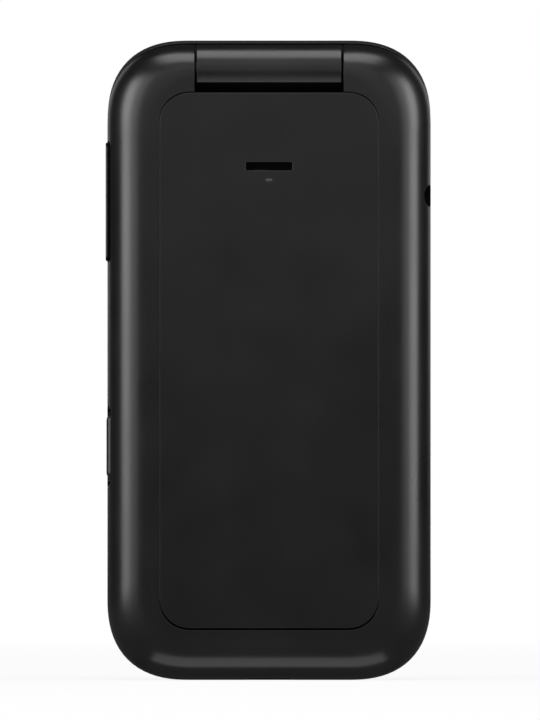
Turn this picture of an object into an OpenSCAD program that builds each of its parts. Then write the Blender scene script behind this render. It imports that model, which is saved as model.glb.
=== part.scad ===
// Folding mobile phone, closed and standing on its lower end.
// X runs across the phone, Y from the lid (-Y, the front) to the battery cover (+Y, the back),
// and Z up towards the hinge. The origin is the middle of the lower end. All sizes are in millimetres.

/* [Body] */
// Width over the side walls
body_w = 55; // [54:0.5:56]
// Height from the lower end to the top edge of the lid
body_h = 108.8; // [108:0.2:110]
// Thickness of the closed phone
body_t = 19; // [19:0.1:19.4]
// Size of the rounded corners, seen from the back
corner_r = 14; // [12:0.5:14]
// Squareness of those corners, where 2 is a plain circle
corner_power = 2.45; // [2:0.05:2.6]
// How far the soft edge reaches in from the sides of the back
side_round = 7.2; // [6.5:0.1:7.6]
// How far the soft edge reaches up from the lower end of the back
end_round = 5.7; // [5:0.1:6]
// Radius of the lid's front edge
lid_round = 5; // [4:0.5:5]
// How far the lid's top edge stands above the knuckles
lid_lip = 0.8; // [0.4:0.1:0.9]
// Gap between the two halves when shut
parting_gap = 0.6; // [0.5:0.05:0.7]

/* [Hinge] */
// Width of the lid's barrel, between the knuckles
barrel_w = 24.6; // [23:0.2:26]
// Radius of the barrel
barrel_r = 4.4; // [4.2:0.1:4.5]
// Gap at each end of the barrel
barrel_gap = 0.35; // [0.3:0.05:0.6]

/* [Battery cover] */
// Width of the cover
cover_w = 37.2; // [36:0.2:38]
// Lower edge of the cover
cover_z0 = 8.8; // [8:0.2:9]
// Upper edge of the cover
cover_z1 = 99.8; // [99.4:0.1:99.8]
// Thickness of the cover
cover_t = 1.1; // [0.9:0.05:1.1]
// Corner radius of the cover
cover_r = 5.4; // [4.5:0.1:6]
// Width of the sound slot
sound_w = 7.9; // [7:0.1:9]
// Height of the sound slot
sound_h = 1.45; // [1.2:0.05:1.8]
// Height of the sound slot above the lower end
sound_z = 87.3; // [86:0.1:89]

/* [Keys] */
// Width of a number key
key_w = 14.4; // [13.6:0.2:14.6]
// Height of a number key
key_h = 10.8; // [10:0.2:11.2]
// Spacing of the number keys across
key_pitch_x = 15.6; // [15.6:0.1:15.9]
// Spacing of the number keys up
key_pitch_z = 12.2; // [12:0.1:12.2]
// How far the key tops stand out of the fascia
key_proud = 0.35; // [0.2:0.05:0.4]
// Length of the volume key
volume_len = 20.2; // [18:0.2:20.2]
// Length of the emergency key
emergency_len = 10.8; // [9:0.2:11]

/* [Displays] */
// Width of the inner window
inner_win_w = 47; // [45:0.5:48]
// Height of the inner window
inner_win_h = 68; // [66:0.5:69]
// Width of the outer window
outer_win_w = 36; // [34:0.5:38]
// Height of the outer window
outer_win_h = 58; // [56:0.5:59]

/* [Hidden] */
$fn = 48;

half_w = body_w / 2;
back_y = body_t / 2;
front_y = -body_t / 2;
base_top = body_h - lid_lip;
clear = 0.15;            // usual gap round a loose piece
far = 60;                // reach of a cutting block that runs out past the phone

// Depths through the base, from the keypad side (y = 0) to the back
fascia_t = 1.1;
housing_y = 1.2;         // front edge of the rear housing's wall
flange_y0 = 1.15;
flange_y1 = 1.6;
stem_y = 1.78;
dome_top = 2.02;
sheet_y = 2.2;
board_y0 = 2.35;
board_y1 = 3.15;
bay_floor_y0 = 3.3;
bay_floor_y1 = 3.9;
battery_y0 = 4;
battery_y1 = 8.2;
cavity_y = 7.2;          // how deep the hollows behind the board reach
cover_y0 = back_y - cover_t;

// Hinge line, and the radii round it
hinge_y = 4.9;
hinge_z = base_top - barrel_r;
knuckle_r = hinge_y;
knuckle_z0 = 98.6;       // where the knuckles begin, just above the fascia
half_barrel = barrel_w / 2;
half_slot = half_barrel + barrel_gap;
inner_barrel_r = 3.8;
barrel_bore_r = 2.96;
bush_r = 2.9;
bush_bore_r = 1.9;
case_r = 2.95;
case_bore_r = 2.55;
cam_r = 2.45;
shaft_r = 1;
head_r = 1.6;
head_flat = 2.4;
barrel_edge = -28.5;     // angle of the outer barrel's lower edge, below the hinge line
barrel_split = 200;      // angle of its front edge
neck_z = hinge_z - 2.2;  // underside of the neck between lid and barrel
neck_wall = 1.1;

// Depths through the lid
lid_y = -parting_gap;
lid_frame_t = 1.2;
lid_split_y = lid_y - lid_frame_t;
lid_round_y = front_y + lid_round;
neck_y0 = lid_split_y - 0.8;
window_t = 0.9;
glass_t = 0.8;

// Soft edge of the base: where it starts, and how deep it is
side_round_y = 3;
side_round_t = back_y - side_round_y;
top_round = 5;
top_round_t = 6;
top_round_y = back_y - top_round_t;

corner_steps = 10;
round_steps = 9;

// Keypad layout
key_r = 2.2;
first_row_z = 18.2;
nav_z = 73;
nav_w = 22.4;
nav_r = 6.5;
nav_hole_r = 5.3;
nav_proud = 0.2;
nav_dome_off = 7;
side_key_w = 11.4;
side_key_h = 9;
side_key_x = 18.1;
side_key_dz = 5.6;
key_gap = 0.15;
flange_lip = 0.4;

// Side keys and sockets
side_key_y = 4.2;
volume_z = 81.3;
volume_t = 1.9;
volume_slot = 20.6;
volume_tip_x = half_w + 0.28;
emergency_z = 39.7;
emergency_t = 2;
emergency_tip_x = half_w + 0.15;
scoop_len = 13.6;
scoop_t = 2.6;
scoop_depth = 0.75;
inner_wall_x = half_w - 2.2;
jack_y = 4.6;
jack_z = 82.3;
jack_r = 1.78;
jack_x0 = -25.2;
jack_x1 = -11.5;
jack_half = 2.2;
jack_end_wall = 0.8;
usb_w = 7.5;
usb_y0 = 2.4;
usb_y1 = 4.75;
usb_z0 = 0.5;
usb_z1 = 6.1;
battery_w = 34.4;
battery_z0 = 14.6;
battery_z1 = 69.2;
screw_spots = [[15.5, 95.2], [14.5, 10.6]];
screw_head_t = 0.6;
lid_screw_spots = [[19.5, 9.5], [19.5, 95]];
lid_head_t = 0.35;
bumper_depth = 0.45;
mic_x = 8;
mic_z = 5;
tab_rows = [20, 42, 64, 90];
tab_x0 = 17.5;
tab_x1 = 18.05;
tab_len = 4.8;
tab_drop = 1.1;
flex_x0 = -6.9;
flex_x1 = -0.6;
flex_t = 0.15;
flex_exit_z = hinge_z + 1.17;
inner_win_z = 49;
outer_win_z = 71;
camera_x = -6.5;
flash_x = 6.5;
camera_z = outer_win_z + outer_win_h / 2 - 7;

// ---------------------------------------------------------------- shapes

// A block given by its bounds
module block(x0, x1, y0, y1, z0, z1) {
    translate([x0, y0, z0]) cube([x1 - x0, y1 - y0, z1 - z0]);
}

// A flat shape drawn in X and Z, made solid from y0 to y1
module slab(y0, y1) {
    translate([0, y1, 0]) rotate([90, 0, 0]) linear_extrude(y1 - y0) children();
}

// A flat shape drawn in Y and Z, made solid from x0 to x1
module side_slab(x0, x1) {
    translate([x0, 0, 0]) rotate([90, 0, 90]) linear_extrude(x1 - x0) children();
}

// A round bar along X
module bar(r, x0, x1, y = hinge_y, z = hinge_z) {
    translate([x0, y, z]) rotate([0, 90, 0]) cylinder(r = r, h = x1 - x0);
}

// A flat rounded rectangle about its own middle
module rounded(w, h, r) {
    if (w > 2 * r) square([w - 2 * r, h], center = true);
    if (h > 2 * r) square([w, h - 2 * r], center = true);
    for (sx = [-1, 1], sz = [-1, 1])
        translate([sx * (w / 2 - r), sz * (h / 2 - r)]) circle(r);
}

module mirrored_x() {
    children();
    mirror([1, 0, 0]) children();
}

// The outline of either half, seen from the front, with soft square corners
function power(v, e) = sign(v) * pow(abs(v), 2 / e);
function outline(inset, z1) = [
    for (q = [0:3], i = [0:corner_steps])
        let (a = q * 90 + i * 90 / corner_steps,
             r = corner_r - inset,
             cx = (q == 0 || q == 3 ? 1 : -1) * (half_w - corner_r),
             cz = q < 2 ? z1 - corner_r : corner_r)
        [cx + r * power(cos(a), corner_power), cz + r * power(sin(a), corner_power)]
];

// How far an edge of that depth has drawn in, at a share u of the way round it
function draw_in(u, reach) = reach * (1 - sqrt(1 - pow(max(0, min(1, u)), 2)));

// One ring of the skin: the outline, drawn in at the sides, the lower end and the top
function ring(y, z1, sides, low, high) = [
    for (p = outline(0, z1))
        [p[0] * (half_w - sides) / half_w, y, low + p[1] * (z1 - low - high) / z1]
];

function base_ring(y) = ring(y, base_top,
    draw_in((y - side_round_y) / side_round_t, side_round),
    draw_in((y - side_round_y) / side_round_t, end_round),
    draw_in((y - top_round_y) / top_round_t, top_round));
function lid_ring(y) = ring(y, body_h,
    draw_in((lid_round_y - y) / lid_round, lid_round),
    draw_in((lid_round_y - y) / lid_round, lid_round),
    draw_in((lid_round_y - y) / lid_round, lid_round));

base_rings = [
    base_ring(0),
    for (k = [0:round_steps]) base_ring(side_round_y + side_round_t * sin(90 * k / round_steps))
];
lid_rings = [
    for (k = [round_steps:-1:0]) lid_ring(lid_round_y - lid_round * sin(90 * k / round_steps)),
    lid_ring(lid_split_y)
];

// A closed skin over rings that follow one another along +Y
module skin(rings) {
    n = len(rings[0]);
    m = len(rings);
    polyhedron(
        points = [for (r = rings, p = r) p],
        faces = [
            [for (i = [n - 1:-1:0]) i],
            for (k = [0:m - 2], i = [0:n - 1])
                let (a = k * n + i, b = k * n + (i + 1) % n) each [[a, b, b + n], [a, b + n, a + n]],
            [for (i = [0:n - 1]) (m - 1) * n + i]
        ]);
}

// A pie slice round the hinge line, from angle a0 to a1, measured from +Y towards +Z
module hinge_slice(a0, a1, x0, x1) {
    steps = 6;
    translate([0, hinge_y, hinge_z]) side_slab(x0, x1)
        polygon([[0, 0], for (k = [0:steps])
            let (a = a0 + (a1 - a0) * k / steps) 12 * [cos(a), sin(a)]]);
}

// The cover's outline, grown by g
module cover_shape(g = 0) {
    translate([0, (cover_z0 + cover_z1) / 2])
        rounded(cover_w + 2 * g, cover_z1 - cover_z0 + 2 * g, cover_r + g);
}

// ---------------------------------------------------------------- base half

housing_colour = [0.16, 0.16, 0.17];
dark_colour = [0.08, 0.08, 0.09];
steel_colour = [0.72, 0.73, 0.75];
board_colour = [0.05, 0.28, 0.16];
key_colour = [0.24, 0.24, 0.25];

module screw_columns(r, y0, y1, spots) {
    for (s = spots) mirrored_x() slab(y0, y1) translate(s) circle(r);
}

// Everything inside the rear housing's walls
module housing_hollows() {
    difference() {
        union() {
            slab(-1, bay_floor_y0) intersection() {
                polygon(outline(1.5, base_top));
                translate([-far, 0]) square([2 * far, 97]);
            }
            block(-23, 23, bay_floor_y0 - 1, cavity_y, 72.6, 97);
            block(-18.4, 18.4, bay_floor_y0 - 1, 7, 2.7, 13.2);
            block(19, inner_wall_x, bay_floor_y0 - 1, 6.2, 69, 94);
            block(19, inner_wall_x, bay_floor_y0 - 1, 6.2, 31, 48);
            block(jack_x0 - 0.1, -22, bay_floor_y0 - 1, jack_y + jack_half + 0.2,
                jack_z - jack_half - 0.3, jack_z + jack_half + 0.3);
        }
        screw_columns(2.1, board_y1 + 0.3, back_y, screw_spots);
    }
    // battery bay, contact opening and card opening
    block(-battery_w / 2 - 0.2, battery_w / 2 + 0.2, bay_floor_y1, far,
        battery_z0 - 0.2, battery_z1 + 0.2);
    block(-6.2, 6.2, bay_floor_y0 - 1, 7.6, battery_z1, 73);
    block(-1.2, 14.2, bay_floor_y0 - 1, bay_floor_y1 + 1, 19.8, 34.2);
    // pockets for the cover's tabs
    for (z = tab_rows) mirrored_x()
        block(tab_x0 - 0.2, tab_x1 + 0.2, cover_y0 - tab_drop - 0.2, cover_y0,
            z - tab_len / 2 - 0.2, z + tab_len / 2 + 0.2);
    // seat of the cover, and the sound opening under its slot
    slab(cover_y0 - 0.05, far) cover_shape(clear);
    slab(cavity_y - 1, far) translate([0, sound_z]) rounded(sound_w + 0.4, sound_h + 0.4, 0.5);
}

// The rear housing's openings in its side walls and lower end
module housing_openings() {
    side_slab(inner_wall_x - 1, far) translate([side_key_y, volume_z])
        rounded(volume_t + 0.4, volume_slot, volume_t / 2 + 0.2);
    side_slab(inner_wall_x - 1, far) translate([side_key_y, emergency_z])
        rounded(emergency_t + 0.4, emergency_len + 0.4, emergency_t / 2 + 0.2);
    side_slab(half_w - scoop_depth, far) translate([side_key_y, emergency_z])
        rounded(scoop_t, scoop_len, scoop_t / 2);
    bar(jack_r, -far, -inner_wall_x + 1, jack_y, jack_z);
    translate([0, 0, -1]) linear_extrude(5)
        translate([0, (usb_y0 + usb_y1) / 2]) rounded(usb_w + 0.4, usb_y1 - usb_y0 + 0.3, 0.9);
}

// The gap that the barrel and neck turn in, the rounded tops of the knuckles, and the hinge seats
module hinge_room() {
    block(-half_slot, half_slot, -far, far, knuckle_z0, far * 2);
    difference() {
        block(-far, far, -far, hinge_y, hinge_z, far * 2);
        bar(knuckle_r, -far - 1, far + 1);
    }
    bar(bush_r, -17, 0);
    intersection() {
        bar(head_r, 0, 17);
        block(0, 17, hinge_y - head_r, hinge_y + head_r,
            hinge_z - head_flat / 2, hinge_z + head_flat / 2);
    }
}

module rear_housing() {
    color(housing_colour) difference() {
        skin(base_rings);
        block(-far, far, -far, housing_y, -far, knuckle_z0);
        housing_hollows();
        housing_openings();
        hinge_room();
        screw_columns(0.85, -1, far, screw_spots);
        screw_columns(1.5, cover_y0 - 0.85, far, screw_spots);
    }
}

module number_key_spots() {
    for (row = [0:3], col = [-1:1])
        translate([col * key_pitch_x, first_row_z + row * key_pitch_z]) children();
}

module side_key_spots() {
    for (sx = [-1, 1], sz = [-1, 1])
        translate([sx * side_key_x, nav_z + sz * side_key_dz]) children();
}

module keypad_fascia() {
    g = 2 * key_gap;
    color(dark_colour) difference() {
        union() {
            slab(0, fascia_t) intersection() {
                polygon(outline(0, base_top));
                translate([-far, 0]) square([2 * far, knuckle_z0 - 0.1]);
            }
            screw_columns(1.6, fascia_t - 0.1, board_y1 + 0.2, screw_spots);
        }
        slab(-1, fascia_t + 1) {
            number_key_spots() rounded(key_w + g, key_h + g, key_r + key_gap);
            side_key_spots() rounded(side_key_w + g, side_key_h + g, key_r + key_gap);
            translate([0, nav_z]) rounded(nav_w + g, nav_w + g, nav_r + key_gap);
            translate([mic_x, mic_z]) circle(0.5);
        }
        screw_columns(0.8, 0.6, far, screw_spots);
    }
}

module battery_cover() {
    color(housing_colour) {
        difference() {
            slab(cover_y0, back_y) cover_shape();
            slab(0, far) translate([0, sound_z]) rounded(sound_w, sound_h, 0.3);
            slab(back_y - 0.12, far) translate([0, sound_z - 2.3]) rounded(1.2, 0.6, 0.29);
        }
        // tabs that press into the pockets beside the battery
        for (z = tab_rows) mirrored_x()
            block(tab_x0, tab_x1, cover_y0 - tab_drop, cover_y0 + 0.1,
                z - tab_len / 2, z + tab_len / 2);
    }
}

module battery() {
    color([0.2, 0.2, 0.22]) difference() {
        slab(battery_y0, battery_y1 - 0.1) translate([0, (battery_z0 + battery_z1) / 2])
            rounded(battery_w, battery_z1 - battery_z0, 1.2);
        // shallow seats for the three contacts, open downwards so that the battery lifts off them
        for (x = [-4, 0, 4]) block(x - 1, x + 1, 0, 7, battery_z1 - 0.15, far * 2);
    }
}

module battery_contacts() {
    color(steel_colour) for (x = [-4, 0, 4])
        block(x - 0.5, x + 0.5, 5.2, 6.6, battery_z1 - 0.1, 70.4);
    color(dark_colour) block(-6, 6, board_y1 + 0.05, 7.4, 70.3, 72.5);
}

module main_board() {
    color(board_colour) difference() {
        slab(board_y0, board_y1) intersection() {
            polygon(outline(4, base_top));
            translate([-far, 2.6]) square([2 * far, 93.8]);
        }
        slab(0, far) for (s = screw_spots) mirrored_x() translate(s) circle(2);
        block(-far, jack_x1 + 0.2, 0, far, jack_z - jack_half - 0.2, jack_z + jack_half + 0.2);
        block(-usb_w / 2 - 0.2, usb_w / 2 + 0.2, 0, far, 0, usb_z1 + 0.2);
    }
}

module dome_sheet() {
    color([0.85, 0.85, 0.8]) {
        slab(sheet_y, board_y0) difference() {
            translate([0, 48.6]) rounded(47, 72.4, 4);
            for (s = screw_spots) mirrored_x() translate(s) circle(2.1);
        }
        slab(dome_top, sheet_y + 0.05) {
            number_key_spots() circle(2);
            side_key_spots() circle(2);
            translate([0, nav_z]) {
                circle(2);
                for (a = [0:90:270]) rotate(a) translate([nav_dome_off, 0]) circle(1.6);
            }
        }
    }
}

module shield_can() {
    color(steel_colour) difference() {
        block(9.8, 20.4, board_y1 + 0.02, 4.8, 73.2, 92.4);
        block(10, 20.2, 0, 4.6, 73.4, 92.2);
    }
}

module sim_holder() {
    color(steel_colour) difference() {
        block(-1, 14, board_y1 + 0.02, bay_floor_y1, 20, 34);
        block(0.4, 12.6, 3.35, bay_floor_y1 - 0.2, 18, 31);
        block(3, 10, 3.35, far, 23, 30);
    }
}

module loudspeaker() {
    color(dark_colour) {
        slab(3.7, 6.7) translate([0, sound_z]) rounded(17, 12, 2);
        slab(6.7, 6.95) translate([0, sound_z]) difference() {
            rounded(17, 12, 2);
            rounded(14, 9, 1.5);
        }
    }
}

module speaker_mesh() {
    color(dark_colour) slab(cavity_y - 0.2, cavity_y - 0.02)
        translate([0, sound_z]) rounded(10.4, 3.6, 0.6);
}

module headset_jack() {
    color(dark_colour) difference() {
        block(jack_x0, jack_x1, jack_y - jack_half, jack_y + jack_half,
            jack_z - jack_half, jack_z + jack_half);
        bar(jack_r, jack_x0 - 1, jack_x1 - jack_end_wall, jack_y, jack_z);
    }
}

module usb_socket() {
    middle = (usb_y0 + usb_y1) / 2;
    h = usb_y1 - usb_y0;
    color(steel_colour) difference() {
        translate([0, middle, usb_z0]) linear_extrude(usb_z1 - usb_z0) rounded(usb_w, h, 0.8);
        translate([0, middle, -1]) linear_extrude(usb_z1 + 0.4) rounded(usb_w - 0.5, h - 0.5, 0.55);
    }
    color(dark_colour) block(-2.2, 2.2, middle - 0.3, middle + 0.3, usb_z0 + 0.7, usb_z1 - 0.4);
}

module vibration_motor() {
    color(steel_colour) slab(board_y1 + 0.05, 6) translate([-9, 7.6]) circle(4);
}

module microphone() {
    color(steel_colour) difference() {
        block(mic_x - 2, mic_x + 2, 1.25, 2.25, mic_z - 1.5, mic_z + 1.5);
        slab(0, 1.6) translate([mic_x, mic_z]) circle(0.4);
    }
}

module antenna() {
    color([0.75, 0.6, 0.3]) {
        difference() {
            block(3.8, 12, 6.5, 6.8, 3.4, 12.6);
            block(5.8, 10, 0, far, 5.2, 20);
        }
        block(4, 5, board_y1 + 0.05, 6.6, 8, 9);
    }
}

module side_switch(z, tip_x) {
    color(steel_colour)
        block(21.6, tip_x - 0.5, side_key_y - 0.85, side_key_y + 1.35, z - 2.2, z + 2.2);
    color(dark_colour) bar(0.7, tip_x - 0.6, tip_x, side_key_y, z);
}

module side_switches() {
    side_switch(volume_z + 6, 23.75);
    side_switch(volume_z - 6, 23.75);
    side_switch(emergency_z, 23.85);
}

// A screw with its head at the back (head_y) and its tip at tip_y, with a cross recess
module screw(x, z, head_y, tip_y, head_t) {
    difference() {
        union() {
            slab(head_y - head_t, head_y) translate([x, z]) circle(1.35);
            slab(tip_y, head_y - head_t) translate([x, z]) circle(0.78);
        }
        slab(head_y - head_t / 2, head_y + 1) translate([x, z])
            for (a = [0, 90]) rotate(a) square([1.5, 0.35], center = true);
    }
}

module base_screws() {
    color(steel_colour) for (s = screw_spots, m = [-1, 1])
        screw(m * s[0], s[1], cover_y0 - 0.2, 1.2, screw_head_t);
}

// ---------------------------------------------------------------- keys

module volume_key() {
    color(key_colour) translate([0, side_key_y, volume_z]) {
        side_slab(24.6, volume_tip_x) rounded(volume_t, volume_len, volume_t / 2);
        side_slab(24.1, 24.8) rounded(3.7, volume_slot + 0.8, 0.6);
        // rib that the key rocks on
        slab(-1.8, 1.8) translate([24.1, 0]) circle(0.4);
    }
}

module emergency_key() {
    color(key_colour) translate([0, side_key_y, emergency_z]) {
        side_slab(24.6, emergency_tip_x) rounded(emergency_t, emergency_len, emergency_t / 2);
        side_slab(24.2, 24.8) rounded(3.7, emergency_len + 1.2, 0.6);
    }
}

// A key that slides in the fascia: cap, flange behind the fascia, and the stem over its dome
module fascia_key(x, z, w, h) {
    color(key_colour) translate([x, 0, z]) {
        slab(-key_proud, flange_y0 + 0.1) rounded(w, h, key_r);
        slab(flange_y0, flange_y1) rounded(w + 2 * flange_lip, h + 2 * flange_lip, key_r);
        slab(flange_y1 - 0.1, stem_y) circle(1.2);
    }
}

module number_key(col, row) {
    fascia_key((col - 1) * key_pitch_x, first_row_z + row * key_pitch_z, key_w, key_h);
}

module side_fascia_key(sx, sz) {
    fascia_key(sx * side_key_x, nav_z + sz * side_key_dz, side_key_w, side_key_h);
}

module nav_ring() {
    color(key_colour) translate([0, 0, nav_z]) slab(-nav_proud, 1.15) difference() {
        rounded(nav_w, nav_w, nav_r);
        circle(nav_hole_r);
    }
}

module nav_carrier() {
    color(dark_colour) translate([0, 0, nav_z]) slab(1.45, 1.8) difference() {
        rounded(nav_w - 0.6, nav_w - 0.6, nav_r - 0.3);
        circle(nav_hole_r + 0.1);
    }
}

module select_key() {
    color(key_colour) translate([0, 0, nav_z]) {
        slab(-key_proud, flange_y1) circle(nav_hole_r - 0.35);
        slab(flange_y1 - 0.1, stem_y) circle(1.2);
    }
}

// ---------------------------------------------------------------- hinge

module hinge_shaft() {
    color(steel_colour) {
        bar(shaft_r, 6.5, 9.2);
        bar(cam_r, 9.1, 10.6);
        bar(1.5, 10.5, half_barrel + 0.1);
        intersection() {
            bar(head_r - 0.02, half_barrel, 16.8);
            block(0, 17, hinge_y - 2, hinge_y + 2,
                hinge_z - head_flat / 2 + 0.02, hinge_z + head_flat / 2 - 0.02);
        }
    }
}

module hinge_bush() {
    color(dark_colour) difference() {
        bar(bush_r, -16.9, -7.5);
        bar(bush_bore_r, -18, -6);
    }
}

module hinge_case() {
    color(steel_colour) difference() {
        bar(case_r, 0, half_barrel - 0.2);
        bar(case_bore_r, 0.8, 11.2);
        bar(1.6, 11, 13);
    }
}

module hinge_follower() {
    color(steel_colour) difference() {
        bar(cam_r, 7, 9);
        bar(shaft_r + 0.05, 6, 10);
        block(8.5, 10, hinge_y - 0.6, hinge_y + 0.6, hinge_z - 4, hinge_z + 4);
    }
}

// Compression spring in the case: one unbroken coil, worked out turn by turn
module hinge_spring() {
    wire_r = 0.35;
    coil_r = 1.95;
    turns = 5;
    per_turn = 16;
    sides = 6;
    x0 = 1.2;
    pitch = 1.08;
    rings = [for (i = [0:turns * per_turn])
        let (a = 360 * i / per_turn, x = x0 + pitch * i / per_turn)
        [for (s = [0:sides - 1])
            let (b = 360 * s / sides, r = coil_r + wire_r * cos(b))
            [x + wire_r * sin(b), hinge_y + r * cos(a), hinge_z + r * sin(a)]]];
    n = sides;
    m = len(rings);
    color(steel_colour) polyhedron(
        points = [for (r = rings, p = r) p],
        faces = [
            [for (i = [0:n - 1]) i],
            for (k = [0:m - 2], i = [0:n - 1])
                let (a = k * n + i, b = k * n + (i + 1) % n) each [[a, b + n, b], [a, a + n, b + n]],
            [for (i = [n - 1:-1:0]) (m - 1) * n + i]
        ]);
}

// Flat cable between the halves: a strip from the base through the bush, two turns round the
// hinge line, and a tail through the barrel's wall down to the lid's board
module hinge_flex() {
    color([0.7, 0.4, 0.15]) {
        difference() {
            bar(2.55, flex_x0, flex_x1);
            bar(2.4, flex_x0 - 1, flex_x1 + 1);
            hinge_slice(152, 200, flex_x0 - 1, flex_x1 + 1);
        }
        difference() {
            bar(2.2, flex_x0, flex_x1);
            bar(2.05, flex_x0 - 1, flex_x1 + 1);
            hinge_slice(20, 60, flex_x0 - 1, flex_x1 + 1);
        }
        h = flex_t / 2;
        block(flex_x0, flex_x1, hinge_y - h, hinge_y + h, hinge_z + 2.1, hinge_z + 2.5);
        block(-16.5, flex_x0 + 1, hinge_y - 1.5, hinge_y + 1.5, hinge_z - h, hinge_z + h);
        block(flex_x0, flex_x0 + 1, hinge_y - 2.15, hinge_y, hinge_z - h, hinge_z + h);
        block(flex_x0, flex_x1, -4.1, hinge_y - 2.1, flex_exit_z, flex_exit_z + flex_t);
        block(flex_x0, flex_x1, -4.1, -4.1 + flex_t, 98, flex_exit_z + flex_t);
    }
}

// ---------------------------------------------------------------- lid half

// One part of the round barrel, between two angles
module barrel_part(r, a0, a1) {
    intersection() {
        bar(r, -half_barrel, half_barrel);
        hinge_slice(a0, a1, -half_barrel, half_barrel);
    }
}

module lid_hollows() {
    slab(lid_round_y - 2, lid_split_y + 1) polygon(outline(1.5, body_h));
    slab(front_y + 1.3, lid_round_y - 1) intersection() {
        polygon(outline(4, body_h));
        translate([-far, 4]) square([2 * far, body_h - 8]);
    }
}

module lid_outer_housing() {
    color(housing_colour) difference() {
        union() {
            difference() {
                skin(lid_rings);
                lid_hollows();
            }
            // posts for the screws
            screw_columns(1.8, front_y + 1.2, lid_split_y, lid_screw_spots);
        }
        slab(front_y - 1, front_y + window_t) translate([0, outer_win_z])
            rounded(outer_win_w + 0.2, outer_win_h + 0.2, 6.1);
        slab(front_y - 1, front_y + 2) {
            translate([0, outer_win_z - 7]) rounded(30, 37, 1);
            translate([camera_x, camera_z]) circle(3.4);
            translate([flash_x, camera_z]) circle(1.6);
        }
        screw_columns(0.8, front_y + 3, lid_split_y + 1, lid_screw_spots);
    }
}

module lid_inner_housing() {
    color(dark_colour) difference() {
        slab(lid_split_y, lid_y) polygon(outline(0, body_h));
        // way through for the neck of the barrel
        block(-half_barrel - 0.05, half_barrel + 0.05, -far, far, neck_z - 0.05, base_top + 0.05);
        slab(lid_y - glass_t, 0) translate([0, inner_win_z])
            rounded(inner_win_w + 0.2, inner_win_h + 0.2, 4.1);
        slab(-far, 0) {
            translate([0, inner_win_z]) rounded(44.6, 60, 1);
            translate([0, 8.4]) rounded(9, 1.5, 0.7);
            for (s = lid_screw_spots) mirrored_x() translate(s) circle(0.9);
        }
        screw_columns(2.1, lid_y - bumper_depth, 0, lid_screw_spots);
        screw_columns(1.45, lid_y - bumper_depth - lid_head_t - 0.03, 0, lid_screw_spots);
    }
}

// The barrel that turns between the knuckles, its hollow neck, and the flange inside the lid
module hinge_barrel() {
    neck_top = base_top - 1.05;      // just clear of the lid's top wall
    color(housing_colour) difference() {
        union() {
            difference() {
                union() {
                    block(-half_barrel, half_barrel, lid_split_y, hinge_y - 2, neck_z, base_top);
                    block(-half_barrel, half_barrel, neck_y0, lid_split_y + 0.1, neck_z, neck_top);
                    block(-14, 14, neck_y0, lid_split_y - 0.05, 100, neck_top);
                }
                block(-half_barrel + neck_wall, half_barrel - neck_wall, -far, far,
                    neck_z + neck_wall, neck_top - 0.75);
            }
            block(-half_barrel, half_barrel, hinge_y - 3, hinge_y, base_top - 1.1, base_top);
            barrel_part(barrel_r, barrel_edge, barrel_split);
            barrel_part(inner_barrel_r, barrel_split, 360 + barrel_edge);
        }
        bar(barrel_bore_r, -half_barrel - 1, half_barrel + 1);
        // slot that lets the flat cable out of the barrel
        block(flex_x0 - 0.3, flex_x1 + 0.3, 0, hinge_y - 2,
            flex_exit_z - 0.3, flex_exit_z + flex_t + 0.3);
    }
}

module outer_window() {
    color([0.03, 0.03, 0.035]) slab(front_y, front_y + window_t - 0.05) difference() {
        translate([0, outer_win_z]) rounded(outer_win_w, outer_win_h, 6);
        translate([camera_x, camera_z]) circle(2.6);
        translate([flash_x, camera_z]) circle(1.6);
    }
}

module outer_display() {
    color([0.1, 0.11, 0.13]) slab(front_y + window_t, front_y + 2.6) translate([0, outer_win_z - 7])
        rounded(29.8, 36.8, 0.9);
}

module inner_window() {
    color([0.03, 0.03, 0.035]) slab(lid_y - glass_t + 0.05, lid_y) translate([0, inner_win_z])
        rounded(inner_win_w, inner_win_h, 4);
}

module inner_display() {
    color([0.1, 0.11, 0.13]) {
        slab(-3.9, lid_split_y - 0.05) translate([0, inner_win_z]) rounded(48, 64, 1);
        slab(lid_split_y - 0.1, lid_y - glass_t) translate([0, inner_win_z]) rounded(44.4, 59.8, 0.9);
    }
}

module lid_board() {
    color(board_colour) slab(-4.9, -4.1) difference() {
        translate([0, 53]) rounded(44, 94, 5);
        for (s = lid_screw_spots) mirrored_x() translate(s) circle(2.4);
    }
}

module earpiece() {
    color(dark_colour) slab(-4, lid_split_y - 0.2) translate([0, 8.4]) rounded(12, 6, 2.5);
}

module earpiece_mesh() {
    color([0.5, 0.5, 0.52]) slab(lid_split_y - 0.15, lid_split_y - 0.02)
        translate([0, 8.4]) rounded(10.5, 3, 1.2);
}

module camera_module() {
    color(dark_colour) {
        block(camera_x - 3.2, camera_x + 3.2, -8, -4.95, camera_z - 3.2, camera_z + 3.2);
        slab(front_y + 0.75, -7.9) translate([camera_x, camera_z]) difference() {
            circle(2.4);
            circle(1.2);
        }
    }
}

module camera_glass() {
    color([0.05, 0.06, 0.08]) slab(front_y + 0.1, front_y + 0.7)
        translate([camera_x, camera_z]) circle(2.55);
}

module flash_lens() {
    color([0.9, 0.88, 0.75]) slab(front_y + 0.05, front_y + 1.5)
        translate([flash_x, camera_z]) circle(1.55);
}

module lid_bumpers() {
    color([0.12, 0.12, 0.12]) screw_columns(2.05, lid_y - bumper_depth, -0.06, lid_screw_spots);
}

module lid_screws() {
    color(steel_colour) for (s = lid_screw_spots, m = [-1, 1])
        screw(m * s[0], s[1], lid_y - bumper_depth - 0.02, -6.2, lid_head_t);
}

// ---------------------------------------------------------------- assembly

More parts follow.
